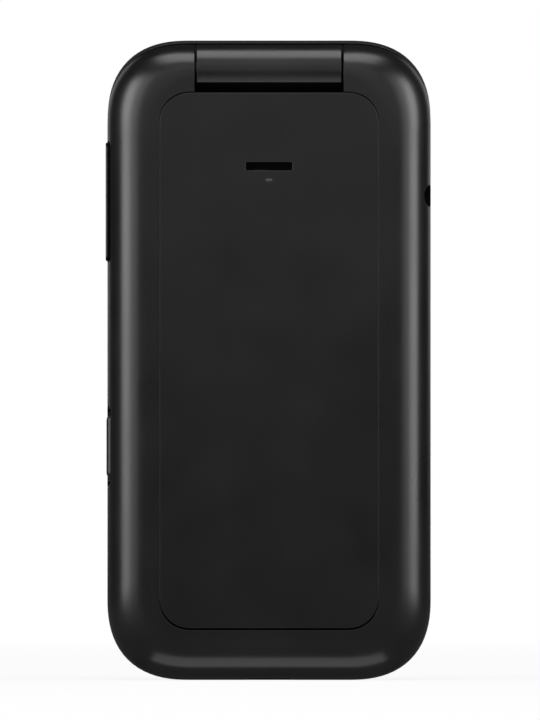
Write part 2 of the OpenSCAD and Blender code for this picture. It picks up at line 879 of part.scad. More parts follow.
rear_housing();
keypad_fascia();
battery_cover();
battery();
battery_contacts();
main_board();
dome_sheet();
shield_can();
sim_holder();
loudspeaker();
speaker_mesh();
headset_jack();
usb_socket();
vibration_motor();
microphone();
antenna();
side_switches();
base_screws();
volume_key();
emergency_key();
nav_carrier();
nav_ring();
select_key();
side_fascia_key(-1, 1);  // soft_key_left
side_fascia_key(1, 1);  // soft_key_right
side_fascia_key(-1, -1);  // call_key
side_fascia_key(1, -1);  // end_key
number_key(0, 3);  // key_1
number_key(1, 3);  // key_2
number_key(2, 3);  // key_3
number_key(0, 2);  // key_4
number_key(1, 2);  // key_5
number_key(2, 2);  // key_6
number_key(0, 1);  // key_7
number_key(1, 1);  // key_8
number_key(2, 1);  // key_9
number_key(0, 0);  // key_star
number_key(1, 0);  // key_0
number_key(2, 0);  // key_hash
hinge_barrel();
hinge_shaft();
hinge_bush();
hinge_case();
hinge_follower();
hinge_spring();
hinge_flex();
lid_outer_housing();
lid_inner_housing();
outer_window();
outer_display();
inner_window();
inner_display();
lid_board();
earpiece();
earpiece_mesh();
camera_module();
camera_glass();
flash_lens();
lid_bumpers();
lid_screws();
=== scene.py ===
# %% [markdown]
# # A folding phone, shut and standing on its lower end
#
# The measured solids come in first and stay as the frame. On top of them this lesson models
# what the eye sees: the soft-edged shells, the barrel of the hinge, the battery cover, the keys
# and the finishes. Every size is in millimetres until it reaches Blender, which works in metres.

# %% Load the measured model
from math import cos, pi, radians, sin, sqrt

import bpy
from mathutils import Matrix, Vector


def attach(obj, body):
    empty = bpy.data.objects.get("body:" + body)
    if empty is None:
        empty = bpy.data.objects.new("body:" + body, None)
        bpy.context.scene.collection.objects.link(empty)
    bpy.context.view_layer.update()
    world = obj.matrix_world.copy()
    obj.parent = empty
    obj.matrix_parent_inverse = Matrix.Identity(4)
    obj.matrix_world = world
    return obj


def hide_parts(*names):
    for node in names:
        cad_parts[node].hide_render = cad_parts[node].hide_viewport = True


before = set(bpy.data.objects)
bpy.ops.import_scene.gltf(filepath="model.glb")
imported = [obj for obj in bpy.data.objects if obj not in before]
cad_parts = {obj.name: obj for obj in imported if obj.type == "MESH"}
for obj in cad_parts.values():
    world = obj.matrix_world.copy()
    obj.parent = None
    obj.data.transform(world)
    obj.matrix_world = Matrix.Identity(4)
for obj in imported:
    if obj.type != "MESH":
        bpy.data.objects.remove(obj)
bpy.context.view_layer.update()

# %% [markdown]
# ## Shared sizes
#
# The two halves share one outline: 55 mm wide, with soft square corners. On paper such a corner
# is a superellipse, a curve between a circle and a square. Blender's vertex bevel draws the same
# curve when its profile is set from the power of the superellipse. Cutters reach well past what
# they cut, out to FAR.

# %% Shared sizes
MM = 0.001
WIDTH = 55.0
LID_HEIGHT = 108.8
BASE_HEIGHT = 108.0
BACK_Y = 9.5
FRONT_Y = -9.5
CORNER = 14.0
CORNER_POWER = 2.45
HINGE = (0.0, 4.9, 103.6)
HALF_BARREL = 12.3
BARREL_R = 4.4
HALF_SLOT = 12.65
LID_SPLIT = -1.8
SLOT_FLOOR = 98.6
FAR = 40
WALL = 1.5
SCREWS = [(side * x, z) for x, z in ((15.5, 95.2), (14.5, 10.6)) for side in (-1, 1)]
LID_SCREWS = [(side * x, z) for x, z in ((19.5, 9.5), (19.5, 95.0)) for side in (-1, 1)]
print("outline", WIDTH, "by", LID_HEIGHT, "mm")

# %% [markdown]
# ## Selecting, as by hand
#
# Blender's operators act on whatever is selected. These helpers clear the selection, pick one
# object, and in edit mode pick only the faces, edges or points that pass a test.


# %% Selecting helpers
def only(*objects):
    """Select these objects and nothing else; the last one is active."""
    bpy.ops.object.select_all(action="DESELECT")
    for one in objects:
        one.select_set(True)
    bpy.context.view_layer.objects.active = objects[-1]


def edit(item, kind="FACE", test=None):
    """Open item in edit mode with all of it selected, or only what passes the test."""
    only(item)
    bpy.ops.object.mode_set(mode="EDIT")
    bpy.ops.mesh.select_mode(type=kind)
    bpy.ops.mesh.select_all(action="DESELECT" if test else "SELECT")
    if test:
        bpy.ops.object.mode_set(mode="OBJECT")
        mesh = item.data
        parts = {"FACE": mesh.polygons, "EDGE": mesh.edges, "VERT": mesh.vertices}[kind]
        for part in parts:
            part.select = bool(test(part))
        bpy.ops.object.mode_set(mode="EDIT")


def leave():
    """Close edit mode."""
    bpy.ops.object.mode_set(mode="OBJECT")


def face_out(item):
    """Make every face of item point outwards."""
    edit(item)
    bpy.ops.mesh.normals_make_consistent(inside=False)
    leave()


def settle(name):
    """Name the new object and move its place into its mesh."""
    made = bpy.context.object
    made.name = made.data.name = name
    only(made)
    bpy.ops.object.transform_apply(location=True, rotation=True, scale=True)
    return made


print("selecting helpers ready")

# %% [markdown]
# ## Starting forms
#
# Three primitives start nearly everything on this phone: a block, a rod, and a plate whose
# corners a vertex bevel rounds.


# %% Starting forms
def block(name, x0, x1, y0, y1, z0, z1):
    """A block between two corners."""
    bpy.ops.object.select_all(action="DESELECT")
    middle = ((x0 + x1) / 2 * MM, (y0 + y1) / 2 * MM, (z0 + z1) / 2 * MM)
    bpy.ops.mesh.primitive_cube_add(size=1, location=middle)
    bpy.context.object.scale = ((x1 - x0) * MM, (y1 - y0) * MM, (z1 - z0) * MM)
    return settle(name)


def rod(name, radius, start, end, sides=64):
    """A round rod between two points."""
    bpy.ops.object.select_all(action="DESELECT")
    a, b = Vector(start) * MM, Vector(end) * MM
    turn = (b - a).to_track_quat("Z", "Y").to_euler()
    bpy.ops.mesh.primitive_cylinder_add(
        vertices=sides, radius=radius * MM, depth=(b - a).length, location=(a + b) / 2, rotation=turn
    )
    return settle(name)


def plate(name, width, height, corner, y, x=0.0, z=0.0, power=2.0, steps=12):
    """A flat plate in X and Z with rounded corners."""
    bpy.ops.object.select_all(action="DESELECT")
    middle = (x * MM, y * MM, z * MM)
    bpy.ops.mesh.primitive_plane_add(size=1, location=middle, rotation=(pi / 2, 0, 0))
    bpy.context.object.scale = (width * MM, height * MM, 1)
    made = settle(name)
    edit(made, "VERT")
    bpy.ops.mesh.bevel(
        offset=corner * MM, segments=steps, profile=2 ** (-2 / power), affect="VERTICES"
    )
    leave()
    return made


print("starting forms ready")

# %% [markdown]
# ## From plates to solids
#
# A plate is drawn facing the keypad side and gets its depth by an extrusion along Y. The two
# shells, the frame and the fascia all start from the phone's own outline.


# %% Solid plates
def outline(name, height, y):
    """The phone's own outline as a plate, with points along its straight edges for clean cuts."""
    made = plate(name, WIDTH, height, CORNER, y, z=height / 2, power=CORNER_POWER, steps=20)
    points = made.data.vertices

    def long_edge(e):
        first, last = e.vertices
        return (points[first].co - points[last].co).length > 20 * MM

    edit(made, "EDGE", long_edge)
    bpy.ops.mesh.subdivide(number_cuts=15)
    leave()
    return made


def push(distance):
    """Extrude what is selected along Y by a distance in millimetres."""
    bpy.ops.mesh.extrude_region_move(TRANSFORM_OT_translate={"value": (0, distance * MM, 0)})


def slab(name, width, height, corner, y0, y1, x=0.0, z=0.0, power=2.0, steps=12):
    """A plate made solid from y0 to y1."""
    made = plate(name, width, height, corner, y0, x, z, power, steps)
    edit(made)
    push(y1 - y0)
    leave()
    face_out(made)
    return made


def inner_slab(name, height, inset, y0, y1, steps=12):
    """A slab with the phone's outline, drawn in by inset all round."""
    width, corner = WIDTH - 2 * inset, CORNER - inset
    return slab(name, width, height - 2 * inset, corner, y0, y1, 0, height / 2, CORNER_POWER, steps)


def turned(item, rotation, shift=(0, 0, 0)):
    """Turn item about the origin, move it in millimetres, and keep both in its mesh."""
    only(item)
    item.rotation_euler = rotation
    item.location = Vector(shift) * MM
    bpy.ops.object.transform_apply(location=True, rotation=True, scale=True)
    return item


def hinge_rod(name, radius, half, sides):
    """A rod on the hinge line, as long on both sides of the middle."""
    _, y, z = HINGE
    return rod(name, radius, (-half, y, z), (half, y, z), sides)


print("solid plates ready")


# %% [markdown]
# ## Cutting and joining
#
# Openings are cut with Boolean modifiers, as on a milling machine.


# %% Cutting and joining helpers
def combine(target, tool, operation):
    """Apply one Boolean and remove the tool."""
    only(target)
    step = target.modifiers.new("combine", "BOOLEAN")
    step.operation = operation
    step.solver = "EXACT"
    step.object = tool
    bpy.ops.object.modifier_apply(modifier=step.name)
    bpy.data.objects.remove(tool, do_unlink=True)
    return target


def cut(target, *tools):
    """Take each tool's volume out of target."""
    for tool in tools:
        combine(target, tool, "DIFFERENCE")
    return target


def fuse(target, *tools):
    """Make target and the tools one solid."""
    for tool in tools:
        combine(target, tool, "UNION")
    return target


def both_sides(form, x0, x1, *rest):
    """A block on the +X side and its twin on the -X side."""
    return form("right", x0, x1, *rest), form("left", -x1, -x0, *rest)


print("cutting helpers ready")

# %% [markdown]
# ## Rounding and shading
#
# A moulded edge is never perfectly sharp, and the thin light line along each gap in the
# photograph is the reflection in such an edge. A Bevel modifier rounds every edge that is
# sharper than an angle, and a Weighted Normal modifier keeps the large flat faces flat beside
# it. A Boolean may number its points differently on each run, and merging and rounding follow
# those numbers, so they are first put in order of their distance from the 3D cursor.


# %% Rounding helpers
bpy.context.scene.cursor.location = (0.0413, -0.0271, 0.0137)


def in_order(item):
    """Number a mesh by the distance from the cursor, which stands clear of every mirror plane."""
    edit(item)
    bpy.ops.mesh.sort_elements(type="CURSOR_DISTANCE", elements={"VERT", "EDGE", "FACE"})
    leave()


def merge(item, distance, test=None):
    """Make one of all points closer than a distance in millimetres, of those that pass the test."""
    in_order(item)
    edit(item, "VERT", test)
    bpy.ops.mesh.remove_doubles(threshold=distance * MM)
    bpy.ops.mesh.select_all(action="SELECT")
    bpy.ops.mesh.delete_loose()
    leave()


def soften(item, width, angle=40, segments=2):
    """Round every edge sharper than angle degrees."""
    merge(item, 0.002)
    only(item)
    step = item.modifiers.new("soften", "BEVEL")
    step.width = width * MM
    step.segments = segments
    step.limit_method = "ANGLE"
    step.angle_limit = radians(angle)
    step.use_clamp_overlap = False
    bpy.ops.object.modifier_apply(modifier=step.name)
    return item


def polish(item, angle=35):
    """Shade smoothly up to angle, with flat faces kept flat."""
    only(item)
    bpy.ops.object.shade_smooth_by_angle(angle=radians(angle))
    step = item.modifiers.new("weigh", "WEIGHTED_NORMAL")
    step.keep_sharp = True
    bpy.ops.object.modifier_apply(modifier=step.name)
    return item


print("rounding helpers ready")

# %% [markdown]
# ## Painting and placing
#
# A piece may wear two materials, such as near-black painted shade inside a gap. Once finished, it is
# put under the body that carries it, and the measured solids that it stands for are hidden.


# %% Painting and placing
def paint(item, material, test):
    """Give the faces whose centre passes the test another material. The test reads millimetres."""
    if not item.data.materials:
        item.data.materials.append(None)
    item.data.materials.append(material)
    last = len(item.data.materials) - 1
    for face in item.data.polygons:
        if test(face.center / MM, face.normal):
            face.material_index = last


def place(item, body, material, slot, *nodes):
    """Give the finished piece its material and its body, and hide the solids that it stands for."""
    if item.data.materials:
        item.data.materials[0] = material
    else:
        item.data.materials.append(material)
    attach(item, body)
    if nodes:
        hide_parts(*nodes)
    print(item.name, len(item.data.polygons), "faces")
    return item


print("placing helpers ready")

# %% [markdown]
# ## Finishes
#
# The phone is nearly all black plastic, so the finish is in the gloss rather than the colour:
# a very fine moulded grain, and slow drifts of colour and roughness that keep it from looking
# like paint. One recipe serves every moulded or metal surface here, with different numbers.
# All patterns read Object coordinates, so they stay fixed to the piece.


# %% Node helpers
def calc(tree, operation, *values):
    """The result of a Math node; each value is a socket to link or a number."""
    made = tree.nodes.new("ShaderNodeMath")
    made.operation = operation
    for socket, value in zip(made.inputs, values):
        if isinstance(value, (int, float)):
            socket.default_value = value
        else:
            tree.links.new(value, socket)
    return made.outputs[0]


def ranged(tree, value, low, high, top=1.0):
    """A value that runs from 0 to top, mapped to run from low to high."""
    made = tree.nodes.new("ShaderNodeMapRange")
    made.inputs["From Max"].default_value = top
    made.inputs["To Min"].default_value = low
    made.inputs["To Max"].default_value = high
    tree.links.new(value, made.inputs["Value"])
    return made.outputs["Result"]


def object_coords(made):
    """The Object coordinates that a finish already reads."""
    found = next(n for n in made.node_tree.nodes if n.type == "TEX_COORD")
    return found.outputs["Object"]


def second_colour(made, factor, colour):
    """Show another colour where factor is 1."""
    tree = made.node_tree
    base = tree.nodes["Principled BSDF"].inputs["Base Color"]
    first = base.links[0].from_socket
    mix = tree.nodes.new("ShaderNodeMix")
    mix.data_type = "RGBA"
    mix.inputs["B"].default_value = (*colour, 1)
    tree.links.new(factor, mix.inputs["Factor"])
    tree.links.new(first, mix.inputs["A"])
    tree.links.new(mix.outputs["Result"], base)
    return made


print("node helpers ready")

# %% [markdown]
# The recipe takes a colour, a roughness and the size and depth of the grain. A slow noise
# drifts the colour and the gloss, and a fine one is the height of a Bump node.


# %% Finish recipe
def finish(name, colour, roughness, metallic=0.0, grain=0.08, depth=0.002, drift=0.15,
           stretch=(1, 1, 1), ior=1.5, coat=0.0):
    """A surface with fine grain (mm) of some depth (mm), and slow drifts of colour and gloss."""
    made = bpy.data.materials.new(name)
    made.use_nodes = True
    nodes, links = made.node_tree.nodes, made.node_tree.links
    shader = nodes["Principled BSDF"]
    shader.inputs["Metallic"].default_value = metallic
    shader.inputs["IOR"].default_value = ior
    shader.inputs["Coat Weight"].default_value = coat
    shader.inputs["Coat Roughness"].default_value = 0.08
    coords = nodes.new("ShaderNodeTexCoord")
    turn = nodes.new("ShaderNodeMapping")
    turn.inputs["Scale"].default_value = stretch
    links.new(coords.outputs["Object"], turn.inputs["Vector"])
    slow = nodes.new("ShaderNodeTexNoise")
    slow.inputs["Scale"].default_value = 90.0
    slow.inputs["Detail"].default_value = 3.0
    fine = nodes.new("ShaderNodeTexNoise")
    fine.inputs["Scale"].default_value = 1 / (grain * MM)
    fine.inputs["Detail"].default_value = 2.0
    links.new(coords.outputs["Object"], slow.inputs["Vector"])
    links.new(turn.outputs["Vector"], fine.inputs["Vector"])
    shade = nodes.new("ShaderNodeValToRGB")
    low = [c * (1 - drift) for c in colour]
    high = [min(1.0, c * (1 + drift)) for c in colour]
    shade.color_ramp.elements[0].position = 0.3
    shade.color_ramp.elements[1].position = 0.7
    shade.color_ramp.elements[0].color = (*low, 1)
    shade.color_ramp.elements[1].color = (*high, 1)
    links.new(slow.outputs["Fac"], shade.inputs["Fac"])
    links.new(shade.outputs["Color"], shader.inputs["Base Color"])
    low, high = max(0.02, roughness - 0.05), min(1.0, roughness + 0.05)
    gloss = ranged(made.node_tree, slow.outputs["Fac"], low, high)
    links.new(gloss, shader.inputs["Roughness"])
    bump = nodes.new("ShaderNodeBump")
    bump.inputs["Distance"].default_value = depth * MM
    links.new(fine.outputs["Fac"], bump.inputs["Height"])
    links.new(bump.outputs["Normal"], shader.inputs["Normal"])
    return made


# %% [markdown]
# Each finish is named for what wears it. The shell is satin, the fascia and the keys duller,
# and the faces deep in the gaps get painted shade: near-black with almost no gloss.

# %% Finishes of this phone
shell_black = finish("satin_shell_black", (0.0055, 0.0056, 0.006), 0.29, grain=0.09, depth=0.0012)
cover_black = finish("satin_cover_black", (0.0055, 0.0056, 0.006), 0.3, grain=0.09, depth=0.0014)
fascia_black = finish("satin_fascia_black", (0.007, 0.007, 0.0078), 0.42, grain=0.1, depth=0.002)
inner_black = finish("plain_inner_black", (0.006, 0.006, 0.0062), 0.55, grain=0.15, depth=0.004)
# Painted shade: near-black with almost no gloss, for faces inside gaps and recesses where shadow falls.
painted_shade_black = finish("painted_gap_shade_black", (0.0012, 0.0012, 0.0012), 0.85, grain=0.2, depth=0.004, ior=1.15)
side_key_black = finish("satin_side_key_black", (0.007, 0.007, 0.008), 0.34, grain=0.09, depth=0.0015)
key_black = finish("satin_key_black", (0.012, 0.012, 0.0132), 0.4, grain=0.12, depth=0.0025)
ring_black = finish("satin_ring_black", (0.016, 0.016, 0.0175), 0.33, grain=0.1, depth=0.0018)
ink_white = finish("legend_ink_white", (0.62, 0.63, 0.65), 0.5, grain=0.1, depth=0.001, drift=0.05)
ink_green = finish("legend_ink_green", (0.03, 0.34, 0.08), 0.5, grain=0.1, depth=0.001, drift=0.05)
ink_red = finish("legend_ink_red", (0.5, 0.025, 0.02), 0.5, grain=0.1, depth=0.001, drift=0.05)
rubber_black = finish("bumper_rubber", (0.012, 0.012, 0.012), 0.7, grain=0.2, depth=0.01)
silicone = finish("keypad_silicone", (0.42, 0.42, 0.4), 0.6, grain=0.3, depth=0.01, drift=0.08)
film_clear = finish("dome_film", (0.5, 0.5, 0.47), 0.35, grain=0.6, depth=0.006, drift=0.1)
flex_amber = finish("flex_amber", (0.4, 0.17, 0.03), 0.35, grain=0.5, depth=0.004, drift=0.2)
label_grey = finish("battery_film", (0.055, 0.057, 0.062), 0.4, grain=0.5, depth=0.004, drift=0.1)
battery_black = finish("battery_end_cap", (0.014, 0.014, 0.015), 0.5, grain=0.2, depth=0.005)
steel = finish("plated_steel", (0.6, 0.61, 0.63), 0.3, metallic=1.0, grain=0.25, drift=0.08,
               stretch=(1, 1, 0.08))
# Painted shade: the hinge's steel works are made near-black because they are seen only in the shadow of
# the gaps beside the barrel.
dark_steel_as_shade = finish("steel_darkened_as_shade", (0.02, 0.02, 0.021), 0.5, metallic=0.6, grain=0.1,
                    depth=0.001, drift=0.1)
spring_steel = finish("spring_steel", (0.42, 0.42, 0.44), 0.35, metallic=1.0, grain=0.1,
                      depth=0.001, drift=0.1)
gold = finish("gold_plating", (0.83, 0.6, 0.25), 0.25, metallic=1.0, grain=0.1, depth=0.001, drift=0.08)
lens_glass = finish("lens_glass", (0.006, 0.008, 0.016), 0.06, grain=2.0, depth=0.0, drift=0.3, coat=0.6)
flash_clear = finish("flash_lens", (0.72, 0.68, 0.52), 0.25, grain=0.5, depth=0.02, drift=0.1)
print("finishes:", len(bpy.data.materials))

# %% [markdown]
# ## Glass-like windows
#
# Both displays sit behind a clear plastic window that is printed black round its edge. Switched
# off, the display behind is only a shade greyer than the print, so the material mixes two
# near-blacks by a rectangle, and faint smudges vary the gloss.


# %% Window recipe
def window_finish(name, centre_z, half_width, half_height):
    """Glossy black, a shade greyer inside a rectangle about (0, centre_z)."""
    made = finish(name, (0.004, 0.004, 0.0046), 0.09, grain=3.0, depth=0.0, drift=0.2, coat=0.3)
    tree = made.node_tree
    split = tree.nodes.new("ShaderNodeSeparateXYZ")
    tree.links.new(object_coords(made), split.inputs["Vector"])
    across = calc(tree, "COMPARE", split.outputs["X"], 0.0, half_width * MM)
    along = calc(tree, "COMPARE", split.outputs["Z"], centre_z * MM, half_height * MM)
    return second_colour(made, calc(tree, "MULTIPLY", across, along), (0.012, 0.013, 0.016))


INNER_Z, OUTER_VIEW_Z = 49.0, 64.0
inner_glass = window_finish("inner_window_black", INNER_Z, 21.6, 28.8)
outer_glass = window_finish("outer_window_black", OUTER_VIEW_Z, 14.2, 17.7)
print("windows:", inner_glass.name, outer_glass.name)

# %% [markdown]
# ## The rear housing
#
# The photograph shows mostly this piece. Seen end-on, its edge is a quarter of an ellipse:
# 7.2 mm wide and 6.5 mm deep at the sides, less at the two ends. The outline is a plate, and
# its end face is extruded and drawn in step by step, so that every ring is the same outline,
# a little smaller. That is how a pattern maker would sweep it, and it keeps the corners soft.


# %% Swept shell
def drawn_in(share, reach):
    """How far a quarter-ellipse edge has come in at a share of its depth."""
    share = max(0.0, min(1.0, share))
    return reach * (1 - sqrt(1 - share * share))


def sweep(item, height, levels, reach):
    """Extrude item's plate through the levels of y. reach(y) gives the draw at side, foot, top."""
    edit(item)
    before = levels[0]
    old = reach(before)
    for y in levels[1:]:
        new = reach(y)
        was = (WIDTH - 2 * old[0], height - old[1] - old[2])
        now = (WIDTH - 2 * new[0], height - new[1] - new[2])
        push(y - before)
        grow = now[1] / was[1]
        bpy.ops.transform.resize(value=(now[0] / was[0], 1, grow), center_override=(0, 0, 0))
        bpy.ops.transform.translate(value=(0, 0, (new[1] - old[1] * grow) * MM))
        before, old = y, new
    leave()
    face_out(item)
    return item


SIDE_START, SIDE_DEPTH = 3.0, 6.5
TOP_START, TOP_DEPTH = 3.5, 6.0
SIDE_REACH, FOOT_REACH, TOP_REACH = 7.2, 5.7, 5.0


def base_reach(y):
    """Draw of the base's edge at a depth y: sides, lower end, top."""
    share = (y - SIDE_START) / SIDE_DEPTH
    top = drawn_in((y - TOP_START) / TOP_DEPTH, TOP_REACH)
    return drawn_in(share, SIDE_REACH), drawn_in(share, FOOT_REACH), top


QUARTER = [sin(radians(a)) for a in range(5, 91, 5)]
SEAM_Y = 1.2
base_levels = [0.0, SEAM_Y, SIDE_START] + [SIDE_START + SIDE_DEPTH * s for s in QUARTER]
housing = outline("rear_shell", BASE_HEIGHT, base_levels[0])
sweep(housing, BASE_HEIGHT, base_levels, base_reach)
print("rear shell:", len(housing.data.polygons), "faces")

# %% [markdown]
# The knuckles of the hinge carry on above the fascia, so the sweep starts at the fascia's front
# and is cut back below them, where the fascia goes. The gap for the barrel is cut too, and the
# front of the knuckles is turned to a radius about the hinge line, which lets the lid swing past.

# %% Knuckles
_, hinge_y, hinge_z = HINGE
cut(housing, block("slot", -HALF_SLOT, HALF_SLOT, -5, 20, SLOT_FLOOR, 120))
cut(housing, block("front", -FAR, FAR, -5, SEAM_Y, -5, SLOT_FLOOR))
swing = block("swing", -FAR, FAR, -5, hinge_y, hinge_z, 120)
cut(swing, hinge_rod("turned", 4.9, 45, 128))
cut(housing, swing)
print("knuckles cut:", len(housing.data.polygons), "faces")

# %% [markdown]
# Inside, the housing is hollow: a shallow tray for the circuit board, deeper pockets for the
# loudspeaker and the sockets, and from the back the bay for the battery.

# %% Hollows of the rear housing
TABS = (20, 42, 64, 90)
SOUND_Z = 87.3
tray = inner_slab("tray", BASE_HEIGHT, WALL, -1, 3.3)
cut(tray, block("top", -FAR, FAR, -5, 10, 97, 120))
fuse(tray, block("upper", -23, 23, 2.3, 7.2, 72.6, 97.01))
fuse(tray, block("lower", -18.4, 18.4, 2.3, 7, 2.7, 13.2))
fuse(tray, block("volume", 19, 25.3, 2.3, 6.21, 69, 94), block("emergency", 19, 25.3, 2.3, 6.2, 31, 48))
fuse(tray, block("jack", -25.3, -22, 2.3, 7.01, 79.8, 84.8))
for x, z in SCREWS:
    cut(tray, rod("boss", 2.1, (x, 3.45, z), (x, 9, z), 32))
cut(housing, tray)
cut(housing, slab("bay", 34.8, 55, 1.2, 3.9, 20, z=41.9))
cut(housing, block("contacts", -6.2, 6.2, 2.3, 7.6, 69, 73))
cut(housing, block("card", -1.2, 14.2, 2.3, 4.9, 19.8, 34.2))
for z in TABS:
    cut(housing, *both_sides(block, 17.3, 18.25, 7.1, 8.4, z - 2.6, z + 2.6))
cut(housing, slab("seat", 37.36, 91.45, 5.5, 8.35, 20, z=54.25, power=2.15, steps=16))
cut(housing, slab("sound", 8.3, 1.85, 0.5, 6.2, 20, z=SOUND_Z))
print("hollowed:", len(housing.data.polygons), "faces")

# %% [markdown]
# The side walls have openings for the volume key, the emergency key with its scooped surround,
# and the headset socket; the lower end has the charging socket. A slot with round ends is a
# slab lying on its side, so the cutter is made flat and turned a quarter about Z.


# %% Openings in the walls
def side_slab(name, depth, length, corner, x0, x1, y, z):
    """A slab with its outline in Y and Z, from x0 to x1."""
    made = slab(name, depth, length, corner, x0, x1, z=z, steps=10)
    return turned(made, (0, 0, -pi / 2), (0, y, 0))


KEY_Y, VOLUME_Z, EMERGENCY_Z = 4.2, 81.3, 39.7
SCOOP_X, SCOOP_R = 26.75, 1.3
JACK_Y, JACK_Z = 4.6, 82.3
cut(housing, side_slab("volume", 2.3, 20.6, 1.149, 24, FAR, KEY_Y, VOLUME_Z))
cut(housing, side_slab("emergency", 2.4, 11.2, 1.199, 24, FAR, KEY_Y, EMERGENCY_Z))
cut(housing, side_slab("scoop", 2 * SCOOP_R, 13.6, SCOOP_R - 0.001, SCOOP_X, FAR, KEY_Y, EMERGENCY_Z))
cut(housing, rod("headset", 1.83, (-FAR, JACK_Y, JACK_Z), (-24, JACK_Y, JACK_Z), 48))
usb_hole = turned(slab("usb", 7.9, 2.65, 0.9, -5, 3.0, z=3.575), (-pi / 2, 0, 0))
print("usb cutter size", [round(d * 1000, 2) for d in usb_hole.dimensions])
cut(housing, usb_hole)
for side, radius in ((-1, 2.9), (1, 1.6)):
    inner, outer = (side * 10, hinge_y, hinge_z), (side * 17, hinge_y, hinge_z)
    cut(housing, rod("bearing", radius, inner, outer, 48))
for x, z in SCREWS:
    cut(housing, rod("pilot", 0.85, (x, -1, z), (x, 12, z), 24))
    cut(housing, rod("head", 1.5, (x, 7.55, z), (x, 12, z), 32))
print("openings cut:", len(housing.data.polygons), "faces")

# %% [markdown]
# The cut for the barrel runs across the swept faces at an angle and leaves a few very thin ones
# beside the knuckles. An edge can't be rounded across a face thinner than the rounding, so
# points that lie almost on the cut are merged with their neighbours on it.


# %% Clean edges on the knuckles
def beside_the_slot(v):
    """Points on the cut for the barrel, or almost on it, on the back of the knuckles."""
    x, y, z = v.co / MM
    on_the_skin = (y - hinge_y) ** 2 + (z - hinge_z) ** 2 > 12
    return abs(abs(x) - HALF_SLOT) < SLIVER and y > 5 and z > 99 and on_the_skin


SLIVER = 0.14
merge(housing, SLIVER, beside_the_slot)
print("merged:", len(housing.data.polygons), "faces")
soften(housing, 0.1)
polish(housing)


def painted_shade_in_gaps(centre, normal):
    """Faces inside the openings and gaps, which get painted shade: near-black for the shadow there."""
    x, y, z = centre
    if abs(x) > 23.9 and abs(normal.x) < 0.5:
        if x < 0:
            return (y - JACK_Y) ** 2 + (z - JACK_Z) ** 2 < 1.85 ** 2
        off, up = abs(y - KEY_Y), abs(z - EMERGENCY_Z)
        volume_slot = off < 1.17 and abs(z - VOLUME_Z) < 10.4
        emergency_slot = off < 1.22 and up < 5.7 and x < SCOOP_X
        scoop_end = off < 1.32 and 5.9 < up < 6.85
        return volume_slot or emergency_slot or scoop_end
    slot_wall = abs(abs(x) - HALF_SLOT) < 0.02 and z > 98
    seat_wall = 8.3 < y < 9.35 and abs(x) < 18.75 and 8.3 < z < 100.1
    hinge_floor = abs(x) < HALF_SLOT and z > 98 and y < 9.3
    return slot_wall or seat_wall or hinge_floor


# Painted shade: faces inside the openings, the slot walls, the seat wall and the floor under the barrel
# are painted near-black for the shadow in them.
paint(housing, painted_shade_black, painted_shade_in_gaps)
place(housing, "base", shell_black, "black_housing", "rear_housing")

# %% [markdown]
# ## The battery cover
#
# A flat panel let into the back. Its edge is lightly rounded, and the thin shadow round it is
# the gap to its seat, whose walls and the cover's own edge carry painted shade. Near the top are the
# slot that lets the loudspeaker out and, under it, a tiny raised mark in a lighter finish. Tabs on the
# inside hold it.

# %% Battery cover
MARK_Z = 85.0
cover = slab("cover_panel", 37.2, 90.94, 5.4, 8.4, BACK_Y, z=54.33, power=2.15, steps=16)
cut(cover, slab("sound", 7.9, 1.45, 0.3, 5, 20, z=SOUND_Z, steps=6))
cut(cover, slab("mark_seat", 1.2, 0.6, 0.29, BACK_Y - 0.12, 20, z=MARK_Z, steps=6))
for z in TABS:
    fuse(cover, *both_sides(block, 17.5, 18.05, 7.3, 8.5, z - 2.4, z + 2.4))
soften(cover, 0.08, segments=3)
polish(cover)
# Painted shade: the cover's edge walls below its face are painted near-black for the shadow in the gap
# round it.
paint(cover, painted_shade_black, lambda c, n: c.y < 9.38 and abs(n.y) < 0.7)
place(cover, "battery_cover", cover_black, "black_cover", "battery_cover")
mark = slab("cover_mark", 1.1, 0.5, 0.245, BACK_Y - 0.13, BACK_Y - 0.01, z=MARK_Z, steps=6)
soften(mark, 0.04)
polish(mark)
mark_grey = finish("mark_grey", (0.036, 0.036, 0.038), 0.4, grain=0.1, depth=0.001)
place(mark, "battery_cover", mark_grey, "black_cover")

# %% [markdown]
# ## The hinge barrel
#
# Between the knuckles turns a barrel that belongs to the lid. Its outer skin ends in a straight
# edge just above the battery cover, and below that edge a slimmer inner skin closes the tube.
# A solid rod is cut by a wedge, a slimmer rod is fused into it, and a hollow neck carries it to
# the lid. The bore comes last. The joins leave points almost on top of each other, which are
# merged before the edges are rounded.


# %% Hinge barrel
INNER_R = 3.8


def wedge(name, start, end):
    """Two half-spaces about the hinge line whose overlap is the wedge between two angles."""
    made = None
    for angle, low, high in ((start, 0, 30), (end, -30, 0)):
        half = turned(block(name, -20, 20, -30, 30, low, high), (radians(angle), 0, 0), HINGE)
        made = half if made is None else combine(made, half, "INTERSECT")
    return made


barrel = hinge_rod("barrel", BARREL_R, HALF_BARREL, 160)
cut(barrel, wedge("wedge", 200, 331.5))
fuse(barrel, hinge_rod("inner", INNER_R, HALF_BARREL, 120))
neck = block("neck", -HALF_BARREL, HALF_BARREL, LID_SPLIT, hinge_y - 2, 101.4, BASE_HEIGHT)
fuse(neck, block("root", -HALF_BARREL, HALF_BARREL, -2.6, LID_SPLIT + 0.1, 101.4, 106.95))
fuse(neck, block("roof", -HALF_BARREL, HALF_BARREL, 1, hinge_y, 106.9, BASE_HEIGHT))
fuse(neck, block("flange", -14, 14, -2.6, LID_SPLIT - 0.05, 100, 106.95))
cut(neck, block("hollow", -11.1, 11.1, -5, 3.5, 102.5, 106.2))
fuse(barrel, neck)
cut(barrel, hinge_rod("bore", 2.96, 15, 96))
merge(barrel, 0.05)
soften(barrel, 0.12)
polish(barrel)


